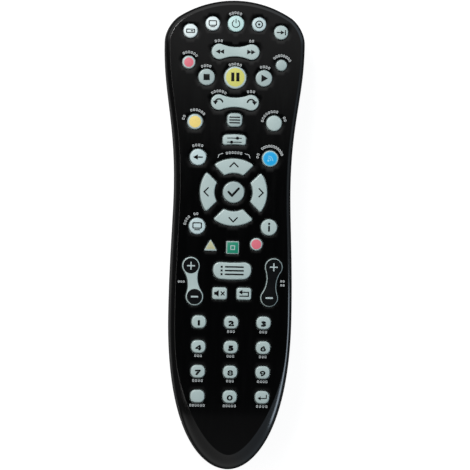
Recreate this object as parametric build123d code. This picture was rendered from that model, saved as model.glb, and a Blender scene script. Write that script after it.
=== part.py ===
from build123d import *

import os
from math import cos, radians, sin, sqrt

# Universal remote control, lying on its back: two shells, forty-five separate keys over a silicone
# sheet and a circuit board, and a bay for two AA cells behind a cover that slides off the tail end.
# +X is to the remote's right, +Y is its head end and +Z points up out of the keypad.
# The origin is the middle of the face that it rests on. Lengths are in millimetres.

# Outline from above
LENGTH = 220.0
WIDTH = 65.4
# The right side, bottom to top, as three curved spans that meet upright at the belly, the waist and the
# widest point: each span's two ends and two handles, as shares of half the width and half the length
SIDE_SPAN_SHARES = (
    ((0.0, -1.0), (0.354, -1.0), (0.870, -0.846), (0.870, -0.345)),
    ((0.870, -0.345), (0.870, -0.091), (0.824, 0.058), (0.824, 0.200)),
    ((0.824, 0.200), (0.824, 0.493), (1.0, 0.594), (1.0, 0.818)),
)
# The rounded corner from the widest point to the shoulder, where the head's arc begins
SHOULDER_SHARES = (0.801, 0.929)
CORNER_START_SHARE = 0.046
CORNER_END_SHARE = 0.032

# Side view: an arched deck over a back that is flat in the middle and rises at both ends
DECK_HEAD_DROP = 9.8
CREST_SHARE = -0.27
HEAD_FLAT_SHARE = 0.36
TAIL_FLAT_SHARE = -0.77
HEAD_RISE = 5.0
TAIL_RISE = 6.0
TOP_EDGE_RADIUS = 3.0
BOTTOM_EDGE_RADIUS = 6.0

# Shell walls and the seam between the shells
DECK_WALL = 1.8
SIDE_WALL = 2.0
FLOOR_WALL = 2.0
FLOOR_EDGE_CHAMFER = 3.2
SEAM_MARGIN = 1.5
SEAM_GAP = 0.15
LIP_HEIGHT = 1.5
LIP_WALL = 0.95
OVERRUN = 5.0

# Keys
KEY_CLEARANCE = 0.3
KEY_PROUD = 1.8
KEY_TRAVEL = 1.0
KEY_EDGE_RADIUS = 0.6
FLANGE_WIDTH = 0.6
FLANGE_GAP = 0.3
FLANGE_THICKNESS = 0.8
PRESS_CLEARANCE = 0.2
CONTACT_GAP = 0.15
PLUNGER_RADIUS = 1.7
ROCKER_ANGLE = 4.0
EAR_START = 2.0

POWER_DIA = 7.6
DEVICE_DIA = 6.6
RECORD_DIA = 6.1
SOURCE_DIA = 5.2
PAUSE_DIA = 10.5
TRANSPORT_DIA = 7.7
DISC_DIA = 7.5
ROUND_DIA = 7.9
COLOUR_DIA = 6.1
OK_DIA = 10.3
MENU_SIZE = (7.6, 6.9)
MENU_CORNER = 2.4
SETUP_SIZE = (11.3, 5.6)
SETUP_BOW = 0.5
SETUP_CORNER = 1.6
GUIDE_SIZE = (18.2, 8.3)
GUIDE_BOW = -0.6
GUIDE_CORNER = 3.7
SMALL_SIZE = (7.4, 6.2)
SMALL_CORNER = 1.3
NUMBER_SIZE = (7.3, 6.6)
NUMBER_CORNER = 2.6
NUMBER_PITCH_X = 15.2
NUMBER_PITCH_Y = 11.63
TRIANGLE_SIZE = (6.4, 5.6)
TRIANGLE_CORNER = 0.6
SQUARE_SIDE = 6.3
SQUARE_CORNER = 0.5
RING_OUTER_RADIUS = 15.9
RING_INNER_RADIUS = 8.85
RING_STRIP = 4.6
RING_CORNER = 0.9
DUMBBELL_PITCH = 15.1
DUMBBELL_LOBE_RADIUS = 3.8
DUMBBELL_WAIST = 4.7
SIDE_ROCKER_PITCH = 14.6
SIDE_ROCKER_LOBE_RADIUS = 4.25
SIDE_ROCKER_WAIST = 5.0
SIDE_ROCKER_LEAN = 7.5

# Places of the keys: share of half the width, share of half the length
KEY_PLACE_SHARES = {
    "power_key": (0.0, 0.901),
    "device_key_1": (-0.651, 0.867),
    "device_key_2": (-0.333, 0.900),
    "device_key_3": (0.333, 0.900),
    "device_key_4": (0.651, 0.867),
    "search_rocker": (0.0, 0.781),
    "record_key": (-0.670, 0.733),
    "source_key": (0.661, 0.727),
    "stop_key": (-0.412, 0.671),
    "pause_key": (0.0, 0.671),
    "play_key": (0.412, 0.670),
    "skip_rocker": (0.0, 0.565),
    "menu_key": (0.0, 0.490),
    "demand_key": (-0.569, 0.480),
    "library_key": (0.566, 0.479),
    "setup_key": (0.0, 0.405),
    "back_key": (-0.517, 0.329),
    "blue_key": (0.518, 0.328),
    "ok_key": (0.0, 0.182),
    "exit_key": (-0.515, 0.035),
    "info_key": (0.517, 0.035),
    "triangle_key": (-0.318, -0.044),
    "square_key": (0.0, -0.054),
    "round_key": (0.339, -0.038),
    "guide_key": (0.0, -0.149),
    "mute_key": (-0.174, -0.250),
    "last_key": (0.174, -0.250),
    "volume_rocker": (-0.564, -0.200),
    "channel_rocker": (0.567, -0.200),
}
NUMBER_PAD_SHARE = -0.531
NUMBER_ROWS = (
    ("digit_1_key", "digit_2_key", "digit_3_key"),
    ("digit_4_key", "digit_5_key", "digit_6_key"),
    ("digit_7_key", "digit_8_key", "digit_9_key"),
    ("clear_key", "digit_0_key", "enter_key"),
)

# Silicone sheet and circuit board under the keys
SHEET_THICKNESS = 1.0
SHEET_GAP = 0.1
BOARD_THICKNESS = 1.2
BOARD_GAP = 0.2
BOARD_EDGE_GAP = 1.0
BOARD_HEAD_SHARE = 0.936
BOARD_TAIL_SHARE = -0.765
POST_RADIUS = 1.8
POST_PLACE_SHARES = ((-0.70, 0.27), (0.70, 0.27), (-0.34, 0.80), (0.34, 0.80), (-0.61, -0.05), (0.61, -0.05))

# Parts on the board
LED_DIA = 3.0
LED_LENGTH = 5.3
LED_RIM_DIA = 3.8
LED_RIM_LENGTH = 0.8
LED_PLACE_SHARES = (-0.167, 0.167)
LED_START_SHARE = 0.905
LED_NOTCH_CLEARANCE = 0.6
CHIP_SIDE = 12.0
CHIP_HEIGHT = 1.6
CHIP_SHARES = (0.0, 0.56)
RESONATOR_SIZE = (7.0, 3.4, 2.6)
RESONATOR_SHARES = (0.30, 0.44)
CAPACITOR_DIA = 5.0
CAPACITOR_HEIGHT = 7.0
CAPACITOR_SHARES = (-0.30, 0.44)

# Infrared window in the head end
WINDOW_WIDTH = 30.0
WINDOW_HEIGHT = 6.4
WINDOW_BELOW_DECK = 2.9
WINDOW_GAP = 0.15
WINDOW_FLANGE = 1.0

# Case screws and the bosses that they join
SCREW_RADIUS = 1.25
SCREW_LENGTH = 9.0
SCREW_HEAD_RADIUS = 2.3
SCREW_HEAD_HEIGHT = 1.6
SCREW_RECESS_WIDTH = 0.7
SCREW_RECESS_REACH = 1.5
SCREW_RECESS_DEPTH = 0.9
PILOT_CLEARANCE = 0.05
SHANK_CLEARANCE = 0.25
HEAD_CLEARANCE = 0.3
COUNTERBORE_DEPTH = 5.0
SEAT_THICKNESS = 2.0
BOSS_WALL = 1.4
BOSS_GAP = 0.2
SCREW_PLACE_SHARES = ((-0.58, 0.58), (0.58, 0.58), (-0.36, -0.187), (0.36, -0.187))

# Battery cells and their bay
CELL_DIA = 14.3
CELL_LENGTH = 50.2
CELL_EDGE_RADIUS = 1.0
CELL_BUTTON_DIA = 5.5
CELL_BUTTON_LENGTH = 1.2
CELL_SPACING = 0.4
CELL_CLEARANCE = 0.3
CELL_END_GAP = 0.15
BAY_HEAD_SHARE = -0.282
BAY_WALL = 1.2
BAY_SIDE_ROOM = 1.4
CEILING_THICKNESS = 1.0
CRADLE_WIDTH = 1.5
CRADLE_SHARES = (0.3, 0.7)

# Battery contacts
PLATE_THICKNESS = 0.4
PLATE_GAP = 0.05
PLATE_WIDTH = 11.0
PLATE_HEIGHT = 9.0
SPRING_LENGTH = 3.8
SPRING_BASE_RADIUS = 4.2
SPRING_TIP_RADIUS = 2.4
SPRING_WALL = 0.7
TAB_WIDTH = 2.0
TAB_CLEARANCE = 0.3

# Battery cover, its rails and its head lips
COVER_WIDTH = 38.0
COVER_HEAD_REACH = 5.0
COVER_GAP = 0.25
COVER_RECESS = 0.2
RAIL_THICKNESS = 1.2
RAIL_OVERLAP = 1.2
RAIL_GAP = 0.2
HOOK_WALL = 1.0
HOOK_LENGTH = 10.0
HOOK_SHARES = (0.15, 0.82)
LEDGE_ROOT = 1.6
LEDGE_SINK = 1.0
COVER_LIP_WIDTH = 2.4
COVER_LIP_REACH = 1.1
COVER_LIP_THICKNESS = 0.85
GRIP_LENGTH = 15.0
GRIP_WIDTH = 1.0
GRIP_PITCH = 2.2
GRIP_DEPTH = 0.5
GRIP_COUNT = 6
GRIP_SHARE = 0.62

# Worked out from the sizes above
HALF_LENGTH = LENGTH / 2
HALF_WIDTH = WIDTH / 2
CREST_Y = HALF_LENGTH * CREST_SHARE
DECK_RADIUS = ((HALF_LENGTH - CREST_Y) ** 2 + DECK_HEAD_DROP**2) / (2 * DECK_HEAD_DROP)
HEAD_FLAT_Y = HALF_LENGTH * HEAD_FLAT_SHARE
TAIL_FLAT_Y = HALF_LENGTH * TAIL_FLAT_SHARE
PARTING_Z = HEAD_RISE + BOTTOM_EDGE_RADIUS + SEAM_MARGIN
COVER_INNER_Z = FLOOR_WALL
CELL_RADIUS = CELL_DIA / 2
CELL_X = CELL_RADIUS + CELL_SPACING / 2
CELL_Z = COVER_INNER_Z + CELL_CLEARANCE + CELL_RADIUS
CELL_TOP_Z = CELL_Z + CELL_RADIUS
BAY_HEAD_Y = HALF_LENGTH * BAY_HEAD_SHARE
BAY_LENGTH = CELL_LENGTH + SPRING_LENGTH + 2 * (PLATE_GAP + PLATE_THICKNESS + CELL_END_GAP)
BAY_TAIL_Y = BAY_HEAD_Y - BAY_LENGTH
BAY_HALF_WIDTH = CELL_X + CELL_RADIUS + BAY_SIDE_ROOM
COVER_HEAD_Y = BAY_HEAD_Y + COVER_HEAD_REACH
COVER_STEP_Y = BAY_TAIL_Y - BAY_WALL - 2 * COVER_GAP
COVER_HALF_WIDTH = COVER_WIDTH / 2
RAIL_BOTTOM_Z = COVER_INNER_Z + RAIL_GAP
RAIL_TOP_Z = RAIL_BOTTOM_Z + RAIL_THICKNESS
RAIL_INNER_X = BAY_HALF_WIDTH - RAIL_OVERLAP - RAIL_GAP
HOOK_TOP_Z = RAIL_TOP_Z + RAIL_GAP + HOOK_WALL
HEAD_ROW_Y = HALF_LENGTH * KEY_PLACE_SHARES["power_key"][1]
TAIL_ROW_Y = HALF_LENGTH * NUMBER_PAD_SHARE - NUMBER_PITCH_Y * (len(NUMBER_ROWS) - 1) / 2


def deck_drop(y, inset=0.0):
    """How far the deck, or a surface that lies inset under it, is below its crest at this y."""
    radius = DECK_RADIUS - inset
    return radius - sqrt(radius**2 - (y - CREST_Y) ** 2)


HEAD_ROW_REACH = POWER_DIA / 2 + FLANGE_WIDTH
BOARD_SLOPE = (deck_drop(HEAD_ROW_Y) - deck_drop(TAIL_ROW_Y)) / (HEAD_ROW_Y - TAIL_ROW_Y)
SLOPE_ALLOWANCE = deck_drop(HEAD_ROW_Y + HEAD_ROW_REACH) - deck_drop(HEAD_ROW_Y) + BOARD_SLOPE * HEAD_ROW_REACH
KEY_STACK = (
    DECK_WALL + FLANGE_GAP + FLANGE_THICKNESS + KEY_TRAVEL + PRESS_CLEARANCE + SHEET_THICKNESS + SHEET_GAP
) + SLOPE_ALLOWANCE
BAY_BOARD_TOP_Z = CELL_TOP_Z + CELL_CLEARANCE + CEILING_THICKNESS + BOARD_GAP + BOARD_THICKNESS
CREST_Z = BAY_BOARD_TOP_Z + KEY_STACK + deck_drop(TAIL_ROW_Y) + BOARD_SLOPE * (BAY_HEAD_Y - TAIL_ROW_Y)


def deck_z(y):
    """Height of the deck's surface."""
    return CREST_Z - deck_drop(y)


def board_z(y):
    """Height of the circuit board's upper face, which falls gently towards the head."""
    return BAY_BOARD_TOP_Z - BOARD_SLOPE * (y - BAY_HEAD_Y)


def rise_radius(rise, flat_y):
    """Radius of the arc that lifts the back from its flat by this rise at the body's end."""
    run = HALF_LENGTH - abs(flat_y)
    return (run**2 + rise**2) / (2 * rise)


def back_z(y, inset=0.0):
    """Height of the back, or of the surface that lies inset above it."""
    flat_y = HEAD_FLAT_Y if y > 0 else TAIL_FLAT_Y
    rise = HEAD_RISE if y > 0 else TAIL_RISE
    run = max(0.0, abs(y) - abs(flat_y))
    radius = rise_radius(rise, flat_y)
    return radius - sqrt((radius - inset) ** 2 - run**2)


def place(shares):
    """A place in the plan from its shares of half the width and half the length."""
    return (HALF_WIDTH * shares[0], HALF_LENGTH * shares[1])


def block(x_range, y_range, z_range):
    """A box between two limits on each axis."""
    size = [high - low for low, high in (x_range, y_range, z_range)]
    middle = [(high + low) / 2 for low, high in (x_range, y_range, z_range)]
    return Pos(*middle) * Box(*size)


def disc(x, y, radius, z_low, z_high):
    """An upright cylinder between two heights."""
    return Pos(x, y, (z_low + z_high) / 2) * Cylinder(radius, z_high - z_low)


def bar(x, z, radius, y_low, y_high):
    """A cylinder that lies along Y."""
    return Pos(x, (y_low + y_high) / 2, z) * Rot(90, 0, 0) * Cylinder(radius, y_high - y_low)


def prism(face, z_low, z_high):
    """A flat shape carried straight up between two heights."""
    return extrude(Pos(0, 0, z_low) * face, amount=z_high - z_low, dir=(0, 0, 1))


def drawn_in(points, inset):
    """A span's ends and handles with each leg between them moved to the left of its heading."""
    legs = [Vector(*high) - Vector(*low) for low, high in zip(points, points[1:])]
    headings = [leg.normalized() for leg in legs]
    shifts = [Vector(-heading.Y, heading.X) * inset for heading in headings]
    moved = [Vector(*points[0]) + shifts[0]]
    for index in (1, 2):
        before = headings[index - 1]
        after = headings[index]
        gap = (Vector(*points[index]) + shifts[index]) - (Vector(*points[index]) + shifts[index - 1])
        cross = before.X * after.Y - before.Y * after.X
        along = (gap.X * after.Y - gap.Y * after.X) / cross
        moved.append(Vector(*points[index]) + shifts[index - 1] + before * along)
    moved.append(Vector(*points[3]) + shifts[2])
    return [(point.X, point.Y) for point in moved]


def outline(inset=0.0):
    """The body seen from above, drawn in by an inset: curved spans up each side and an arc round the head."""
    spans = [[place(shares) for shares in span] for span in SIDE_SPAN_SHARES]
    widest = spans[-1][-1]
    shoulder = place(SHOULDER_SHARES)
    sagitta = HALF_LENGTH - shoulder[1]
    arc_radius = (shoulder[0] ** 2 + sagitta**2) / (2 * sagitta)
    handle = HALF_LENGTH * CORNER_END_SHARE / arc_radius
    corner_end = (shoulder[0] + handle * (arc_radius - sagitta), shoulder[1] - handle * shoulder[0])
    corner_start = (widest[0], widest[1] + HALF_LENGTH * CORNER_START_SHARE)
    spans.append([widest, corner_start, corner_end, shoulder])
    spans = [drawn_in(span, inset) for span in spans]
    shoulder = spans[-1][-1]
    right = [Bezier(*span) for span in spans]
    left = [Bezier(*[(-x, y) for x, y in span]) for span in spans]
    head = ThreePointArc(shoulder, (0, HALF_LENGTH - inset), (-shoulder[0], shoulder[1]))
    return make_face(right + [head] + left)


def side_profile(deck_inset, back_inset):
    """The body seen from its right: the arched deck over the back with its two rises."""
    head_y = HALF_LENGTH + OVERRUN
    tail_y = -head_y

    def top(y):
        return CREST_Z - deck_inset - deck_drop(y, deck_inset)

    def arc(low_y, high_y, height):
        middle_y = (low_y + high_y) / 2
        return ThreePointArc((low_y, height(low_y)), (middle_y, height(middle_y)), (high_y, height(high_y)))

    def bottom(y):
        return back_z(y, back_inset)

    edges = arc(tail_y, head_y, top) + arc(HEAD_FLAT_Y, head_y, bottom) + arc(tail_y, TAIL_FLAT_Y, bottom)
    edges += Line((TAIL_FLAT_Y, back_inset), (HEAD_FLAT_Y, back_inset))
    edges += Line((head_y, bottom(head_y)), (head_y, top(head_y)))
    edges += Line((tail_y, bottom(tail_y)), (tail_y, top(tail_y)))
    return make_face(edges)


def body_block(side_inset, deck_inset, back_inset):
    """The body's outline and side view crossed, each drawn in by an inset."""
    plan = prism(outline(side_inset), 0, CREST_Z)
    profile = extrude(Plane.YZ * side_profile(deck_inset, back_inset), amount=WIDTH, both=True)
    return plan & profile


def rim_edges(solid, upper):
    """The edges where the upright side meets the deck, or the back."""
    chosen = []
    for face in solid.faces():
        if abs(face.normal_at().Z) > 0.01:
            continue
        for edge in face.edges():
            lies_flat = abs((edge % 0.5).Z) < 0.9
            if lies_flat and (edge.center().Z > PARTING_Z) == upper:
                chosen.append(edge)
    return chosen


def outer_body():
    """The whole body with its rounded rims."""
    solid = body_block(0.0, 0.0, 0.0)
    solid = fillet(rim_edges(solid, True), TOP_EDGE_RADIUS)
    return fillet(rim_edges(solid, False), BOTTOM_EDGE_RADIUS)


def inner_cavity():
    """The space inside the shells."""
    solid = body_block(SIDE_WALL, DECK_WALL, FLOOR_WALL)
    return chamfer(rim_edges(solid, False), FLOOR_EDGE_CHAMFER)


def under_deck(inset):
    """Everything under a surface that lies inset below the deck, or above it where inset is negative."""
    end_y = HALF_LENGTH + OVERRUN
    ends = [(y, CREST_Z - inset - deck_drop(y, inset)) for y in (-end_y, end_y)]
    edges = [ThreePointArc(ends[0], (CREST_Y, CREST_Z - inset), ends[1])]
    edges.append(Polyline(ends[1], (end_y, -OVERRUN), (-end_y, -OVERRUN), ends[0]))
    return extrude(Plane.YZ * make_face(edges), amount=WIDTH, both=True)


def sloped_slab(plan, low_offset, high_offset):
    """A plan shape between two planes that follow the board's upper face at these offsets."""
    y_low = -HALF_LENGTH
    y_high = HALF_LENGTH
    corners = [
        (y_low, board_z(y_low) + low_offset),
        (y_high, board_z(y_high) + low_offset),
        (y_high, board_z(y_high) + high_offset),
        (y_low, board_z(y_low) + high_offset),
    ]
    profile = Plane.YZ * make_face(Polyline(*corners, close=True))
    return prism(plan, 0, CREST_Z) & extrude(profile, amount=WIDTH, both=True)


# Shapes of the keys in plan, each about its own middle


def rounded_box(size, corner):
    """A rectangle with round corners."""
    return RectangleRounded(size[0], size[1], corner)


def bowed_box(size, bow, corner):
    """A rectangle whose long edges both bow the same way, with round corners."""
    half_x = size[0] / 2
    half_y = size[1] / 2
    upper = ThreePointArc((-half_x, half_y), (0, half_y + bow), (half_x, half_y))
    lower = ThreePointArc((-half_x, -half_y), (0, -half_y + bow), (half_x, -half_y))
    sides = Line((-half_x, -half_y), (-half_x, half_y)) + Line((half_x, -half_y), (half_x, half_y))
    face = make_face(upper + lower + sides)
    return fillet(face.vertices(), corner)


def triangle(size, corner):
    """A triangle that points to the head, with round corners."""
    half_x = size[0] / 2
    half_y = size[1] / 2
    face = make_face(Polyline((-half_x, -half_y), (half_x, -half_y), (0, half_y), close=True))
    return fillet(face.vertices(), corner)


def ring_sector(turn):
    """One of the four arrow keys: a quarter of the ring, cut back along both diagonals."""
    apex = RING_STRIP / sqrt(2)
    reach = 2 * RING_OUTER_RADIUS
    wedge = make_face(Polyline((0, apex), (reach, apex + reach), (-reach, apex + reach), close=True))
    ring = Circle(RING_OUTER_RADIUS) - Circle(RING_INNER_RADIUS)
    face = ring & wedge
    return Rot(0, 0, turn) * fillet(face.vertices(), RING_CORNER)


def dumbbell(pitch, lobe_radius, waist):
    """Two round lobes joined by a waist whose sides are arcs tangent to both."""
    half_pitch = pitch / 2
    half_waist = waist / 2
    hollow = (half_waist**2 + half_pitch**2 - lobe_radius**2) / (2 * (lobe_radius - half_waist))
    centre_y = half_waist + hollow
    share = lobe_radius / (lobe_radius + hollow)
    touch_x = half_pitch - half_pitch * share
    touch_y = centre_y * share
    end_x = half_pitch + lobe_radius
    right = ThreePointArc((touch_x, -touch_y), (end_x, 0), (touch_x, touch_y))
    left = ThreePointArc((-touch_x, -touch_y), (-end_x, 0), (-touch_x, touch_y))
    upper = ThreePointArc((-touch_x, touch_y), (0, half_waist), (touch_x, touch_y))
    lower = ThreePointArc((-touch_x, -touch_y), (0, -half_waist), (touch_x, -touch_y))
    return make_face(right + upper + left + lower)


def key_shapes():
    """Each push key's shape, turned as it stands, and its place."""
    disc_sizes = {
        "power_key": POWER_DIA,
        "device_key_1": DEVICE_DIA,
        "device_key_2": DEVICE_DIA,
        "device_key_3": DEVICE_DIA,
        "device_key_4": DEVICE_DIA,
        "record_key": RECORD_DIA,
        "source_key": SOURCE_DIA,
        "stop_key": TRANSPORT_DIA,
        "pause_key": PAUSE_DIA,
        "play_key": TRANSPORT_DIA,
        "demand_key": DISC_DIA,
        "library_key": DISC_DIA,
        "back_key": ROUND_DIA,
        "blue_key": ROUND_DIA,
        "ok_key": OK_DIA,
        "exit_key": ROUND_DIA,
        "info_key": ROUND_DIA,
        "round_key": COLOUR_DIA,
    }
    shapes = {name: Circle(size / 2) for name, size in disc_sizes.items()}
    shapes["menu_key"] = rounded_box(MENU_SIZE, MENU_CORNER)
    shapes["setup_key"] = bowed_box(SETUP_SIZE, SETUP_BOW, SETUP_CORNER)
    shapes["guide_key"] = bowed_box(GUIDE_SIZE, GUIDE_BOW, GUIDE_CORNER)
    shapes["mute_key"] = rounded_box(SMALL_SIZE, SMALL_CORNER)
    shapes["last_key"] = rounded_box(SMALL_SIZE, SMALL_CORNER)
    shapes["triangle_key"] = triangle(TRIANGLE_SIZE, TRIANGLE_CORNER)
    shapes["square_key"] = rounded_box((SQUARE_SIDE, SQUARE_SIDE), SQUARE_CORNER)
    placed = {name: (shape, place(KEY_PLACE_SHARES[name])) for name, shape in shapes.items()}
    pad = place(KEY_PLACE_SHARES["ok_key"])
    for name, turn in (("up", 0), ("left", 90), ("down", 180), ("right", 270)):
        placed["arrow_" + name + "_key"] = (ring_sector(turn), pad)
    number_shape = rounded_box(NUMBER_SIZE, NUMBER_CORNER)
    for row, names in enumerate(NUMBER_ROWS):
        for column, name in enumerate(names):
            x = NUMBER_PITCH_X * (column - 1)
            y = HALF_LENGTH * NUMBER_PAD_SHARE - NUMBER_PITCH_Y * (row - (len(NUMBER_ROWS) - 1) / 2)
            placed[name] = (number_shape, (x, y))
    return placed


def rocker_shapes():
    """Each rocker's shape along its own X, its place, its turn and its half pitch."""
    flat = dumbbell(DUMBBELL_PITCH, DUMBBELL_LOBE_RADIUS, DUMBBELL_WAIST)
    side = dumbbell(SIDE_ROCKER_PITCH, SIDE_ROCKER_LOBE_RADIUS, SIDE_ROCKER_WAIST)
    flat_sizes = (DUMBBELL_PITCH / 2, DUMBBELL_LOBE_RADIUS)
    side_sizes = (SIDE_ROCKER_PITCH / 2, SIDE_ROCKER_LOBE_RADIUS)
    return {
        "search_rocker": (flat, place(KEY_PLACE_SHARES["search_rocker"]), 0, flat_sizes),
        "skip_rocker": (flat, place(KEY_PLACE_SHARES["skip_rocker"]), 0, flat_sizes),
        "volume_rocker": (side, place(KEY_PLACE_SHARES["volume_rocker"]), 90 + SIDE_ROCKER_LEAN, side_sizes),
        "channel_rocker": (side, place(KEY_PLACE_SHARES["channel_rocker"]), 90 - SIDE_ROCKER_LEAN, side_sizes),
    }


def plunger(x, y, z_top):
    """The round stem that reaches through the silicone sheet, and stops above the board."""
    z_tip = board_z(y - PLUNGER_RADIUS) + KEY_TRAVEL + CONTACT_GAP
    return disc(x, y, PLUNGER_RADIUS, z_tip, z_top)


def cap(face, z_low):
    """The visible part of a key, with a top that follows the deck and a rounded rim."""
    solid = prism(face, z_low, CREST_Z + KEY_PROUD) & under_deck(-KEY_PROUD)
    top = solid.faces().sort_by(Axis.Z)[-1]
    return fillet(top.edges(), KEY_EDGE_RADIUS)


def push_key(shape, at):
    """A key that moves straight down: cap, flange under the deck, and plunger."""
    face = Pos(*at) * shape
    flange_face = offset(face, amount=FLANGE_WIDTH)
    box = flange_face.bounding_box()
    gap = DECK_WALL + FLANGE_GAP
    flange_top = min(CREST_Z - gap - deck_drop(y, gap) for y in (box.min.Y, box.max.Y))
    z_low = flange_top - FLANGE_THICKNESS
    flange = prism(flange_face, z_low, CREST_Z) & under_deck(gap)
    middle = face.center()
    return cap(face, z_low) + flange + plunger(middle.X, middle.Y, z_low + FLANGE_THICKNESS)


def rocker_key(shape, at, turn, sizes):
    """A key that rocks about its middle, with an ear at each end and two plungers."""
    half_pitch, lobe_radius = sizes
    stand = Pos(*at) * Rot(0, 0, turn)
    face = stand * shape
    ear_x = half_pitch + EAR_START
    reach = half_pitch + lobe_radius + FLANGE_WIDTH
    swing = reach * sin(radians(ROCKER_ANGLE))
    ear_face = offset(shape, amount=FLANGE_WIDTH)
    middle_cut = Rectangle(2 * ear_x, 4 * lobe_radius)
    ears = stand * (ear_face - middle_cut)
    gap = DECK_WALL + FLANGE_GAP + swing
    box = ears.bounding_box()
    flange_top = min(CREST_Z - gap - deck_drop(y, gap) for y in (box.min.Y, box.max.Y))
    z_low = flange_top - FLANGE_THICKNESS
    solid = cap(face, z_low) + (prism(ears, z_low, CREST_Z) & under_deck(gap))
    heading = radians(turn)
    for side in (-1, 1):
        x = at[0] + side * half_pitch * cos(heading)
        y = at[1] + side * half_pitch * sin(heading)
        solid += plunger(x, y, z_low + FLANGE_THICKNESS)
    return solid


def plunger_holes(pushes, rockers):
    """The holes in the silicone sheet for the plungers, wider under a rocker, whose plungers sway."""
    radius = PLUNGER_RADIUS + KEY_CLEARANCE
    holes = []
    for shape, at in pushes.values():
        middle = (Pos(*at) * shape).center()
        holes.append(Pos(middle.X, middle.Y) * Circle(radius))
    for _, at, turn, sizes in rockers.values():
        heading = radians(turn)
        sway = (deck_z(at[1]) - board_z(at[1])) * sin(radians(ROCKER_ANGLE))
        for side in (-1, 1):
            x = at[0] + side * sizes[0] * cos(heading)
            y = at[1] + side * sizes[0] * sin(heading)
            holes.append(Pos(x, y) * Circle(radius + sway))
    return holes


def screw_places():
    """Where the four case screws stand."""
    return [place(shares) for shares in SCREW_PLACE_SHARES]


def seat_z(y):
    """Height of the seat that a screw's head bears on."""
    return back_z(y) + COUNTERBORE_DEPTH


def window_limits(grow):
    """The infrared window's opening in the head wall, grown by a gap."""
    z_high = deck_z(HALF_LENGTH) - WINDOW_BELOW_DECK
    half = WINDOW_WIDTH / 2 + grow
    y_low = HALF_LENGTH * SHOULDER_SHARES[1]
    return (-half, half), (y_low, HALF_LENGTH + OVERRUN), (z_high - WINDOW_HEIGHT - grow, z_high + grow)


def make_window(outer, cavity):
    """The dark window, with a flange behind the wall above the seam's level."""
    pane = (outer - cavity) & block(*window_limits(0))
    x_range, y_range, z_range = window_limits(WINDOW_FLANGE)
    ring = outline(SIDE_WALL + WINDOW_GAP) - outline(SIDE_WALL + WINDOW_GAP + WINDOW_FLANGE)
    flange = prism(ring, PARTING_Z, z_range[1]) & block(x_range, y_range, z_range)
    bridge_ring = outline(SIDE_WALL - WINDOW_GAP) - outline(SIDE_WALL + 2 * WINDOW_GAP)
    inner = window_limits(-WINDOW_GAP)
    bridge = prism(bridge_ring, PARTING_Z, inner[2][1]) & block(*inner)
    return pane + flange + bridge


def make_top_case(shell, pushes, rockers):
    """The upper shell: deck with key holes, seam rebate, window opening and screw bosses."""
    case = shell & block((-WIDTH, WIDTH), (-LENGTH, LENGTH), (PARTING_Z, CREST_Z + OVERRUN))
    rebate = prism(outline(SIDE_WALL - LIP_WALL - SEAM_GAP), PARTING_Z, PARTING_Z + LIP_HEIGHT + SEAM_GAP)
    keep_tail = block((-WIDTH, WIDTH), (-LENGTH, COVER_STEP_Y), (0, CREST_Z))
    case -= rebate - keep_tail
    for x, y in screw_places():
        radius = SCREW_RADIUS + PILOT_CLEARANCE + BOSS_WALL
        low = seat_z(y) + SEAT_THICKNESS + BOSS_GAP
        boss = disc(x, y, radius, low, CREST_Z) & under_deck(DECK_WALL / 2)
        case += boss
        depth = low + SCREW_LENGTH
        case -= disc(x, y, SCREW_RADIUS + PILOT_CLEARANCE, low, depth)
    holes = [Pos(*at) * offset(shape, amount=KEY_CLEARANCE) for shape, at in pushes.values()]
    for shape, at, turn, _ in rockers.values():
        holes.append(Pos(*at) * Rot(0, 0, turn) * offset(shape, amount=KEY_CLEARANCE))
    cutters = [prism(hole, PARTING_Z, CREST_Z + OVERRUN) for hole in holes]
    case -= cutters
    return case - block(*window_limits(WINDOW_GAP))


def cover_zone(gap):
    """The part of the lower shell that belongs to the cover, drawn in by a gap on every side."""
    half = COVER_HALF_WIDTH - gap
    panel = block((-half, half), (-LENGTH, COVER_HEAD_Y - gap), (-OVERRUN, PARTING_Z - gap))
    tail = block((-WIDTH, WIDTH), (-LENGTH, COVER_STEP_Y - gap), (-OVERRUN, PARTING_Z - gap))
    return panel + tail


def bay_walls():
    """The battery bay: side walls, end walls, ceiling under the board and cradle ribs."""
    outer_x = BAY_HALF_WIDTH + BAY_WALL
    head_y = BAY_HEAD_Y + BAY_WALL
    tail_y = BAY_TAIL_Y - BAY_WALL
    plan = Pos(0, (head_y + tail_y) / 2) * Rectangle(2 * outer_x, head_y - tail_y)
    ceiling_top = -BOARD_THICKNESS - BOARD_GAP
    under = sloped_slab(plan, -CREST_Z, ceiling_top)
    room_plan = Pos(0, (BAY_HEAD_Y + BAY_TAIL_Y) / 2) * Rectangle(2 * BAY_HALF_WIDTH, BAY_LENGTH)
    room = sloped_slab(room_plan, -2 * CREST_Z, ceiling_top - CEILING_THICKNESS)
    walls = under & block((-outer_x, outer_x), (tail_y, head_y), (RAIL_BOTTOM_Z, CREST_Z))
    walls -= room
    hook_room = HOOK_TOP_Z + RAIL_GAP
    walls -= block((-BAY_HALF_WIDTH, BAY_HALF_WIDTH), (tail_y - OVERRUN, BAY_TAIL_Y + BAY_WALL), (0, hook_room))
    for share in CRADLE_SHARES:
        y = BAY_HEAD_Y - BAY_LENGTH * share
        for side in (-1, 1):
            inner = side * (BAY_HALF_WIDTH - BAY_SIDE_ROOM + CELL_CLEARANCE)
            wall = side * (BAY_HALF_WIDTH + BAY_WALL / 2)
            rib = block((min(inner, wall), max(inner, wall)), (y, y + CRADLE_WIDTH), (hook_room, CELL_Z))
            walls += rib
    return walls


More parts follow.
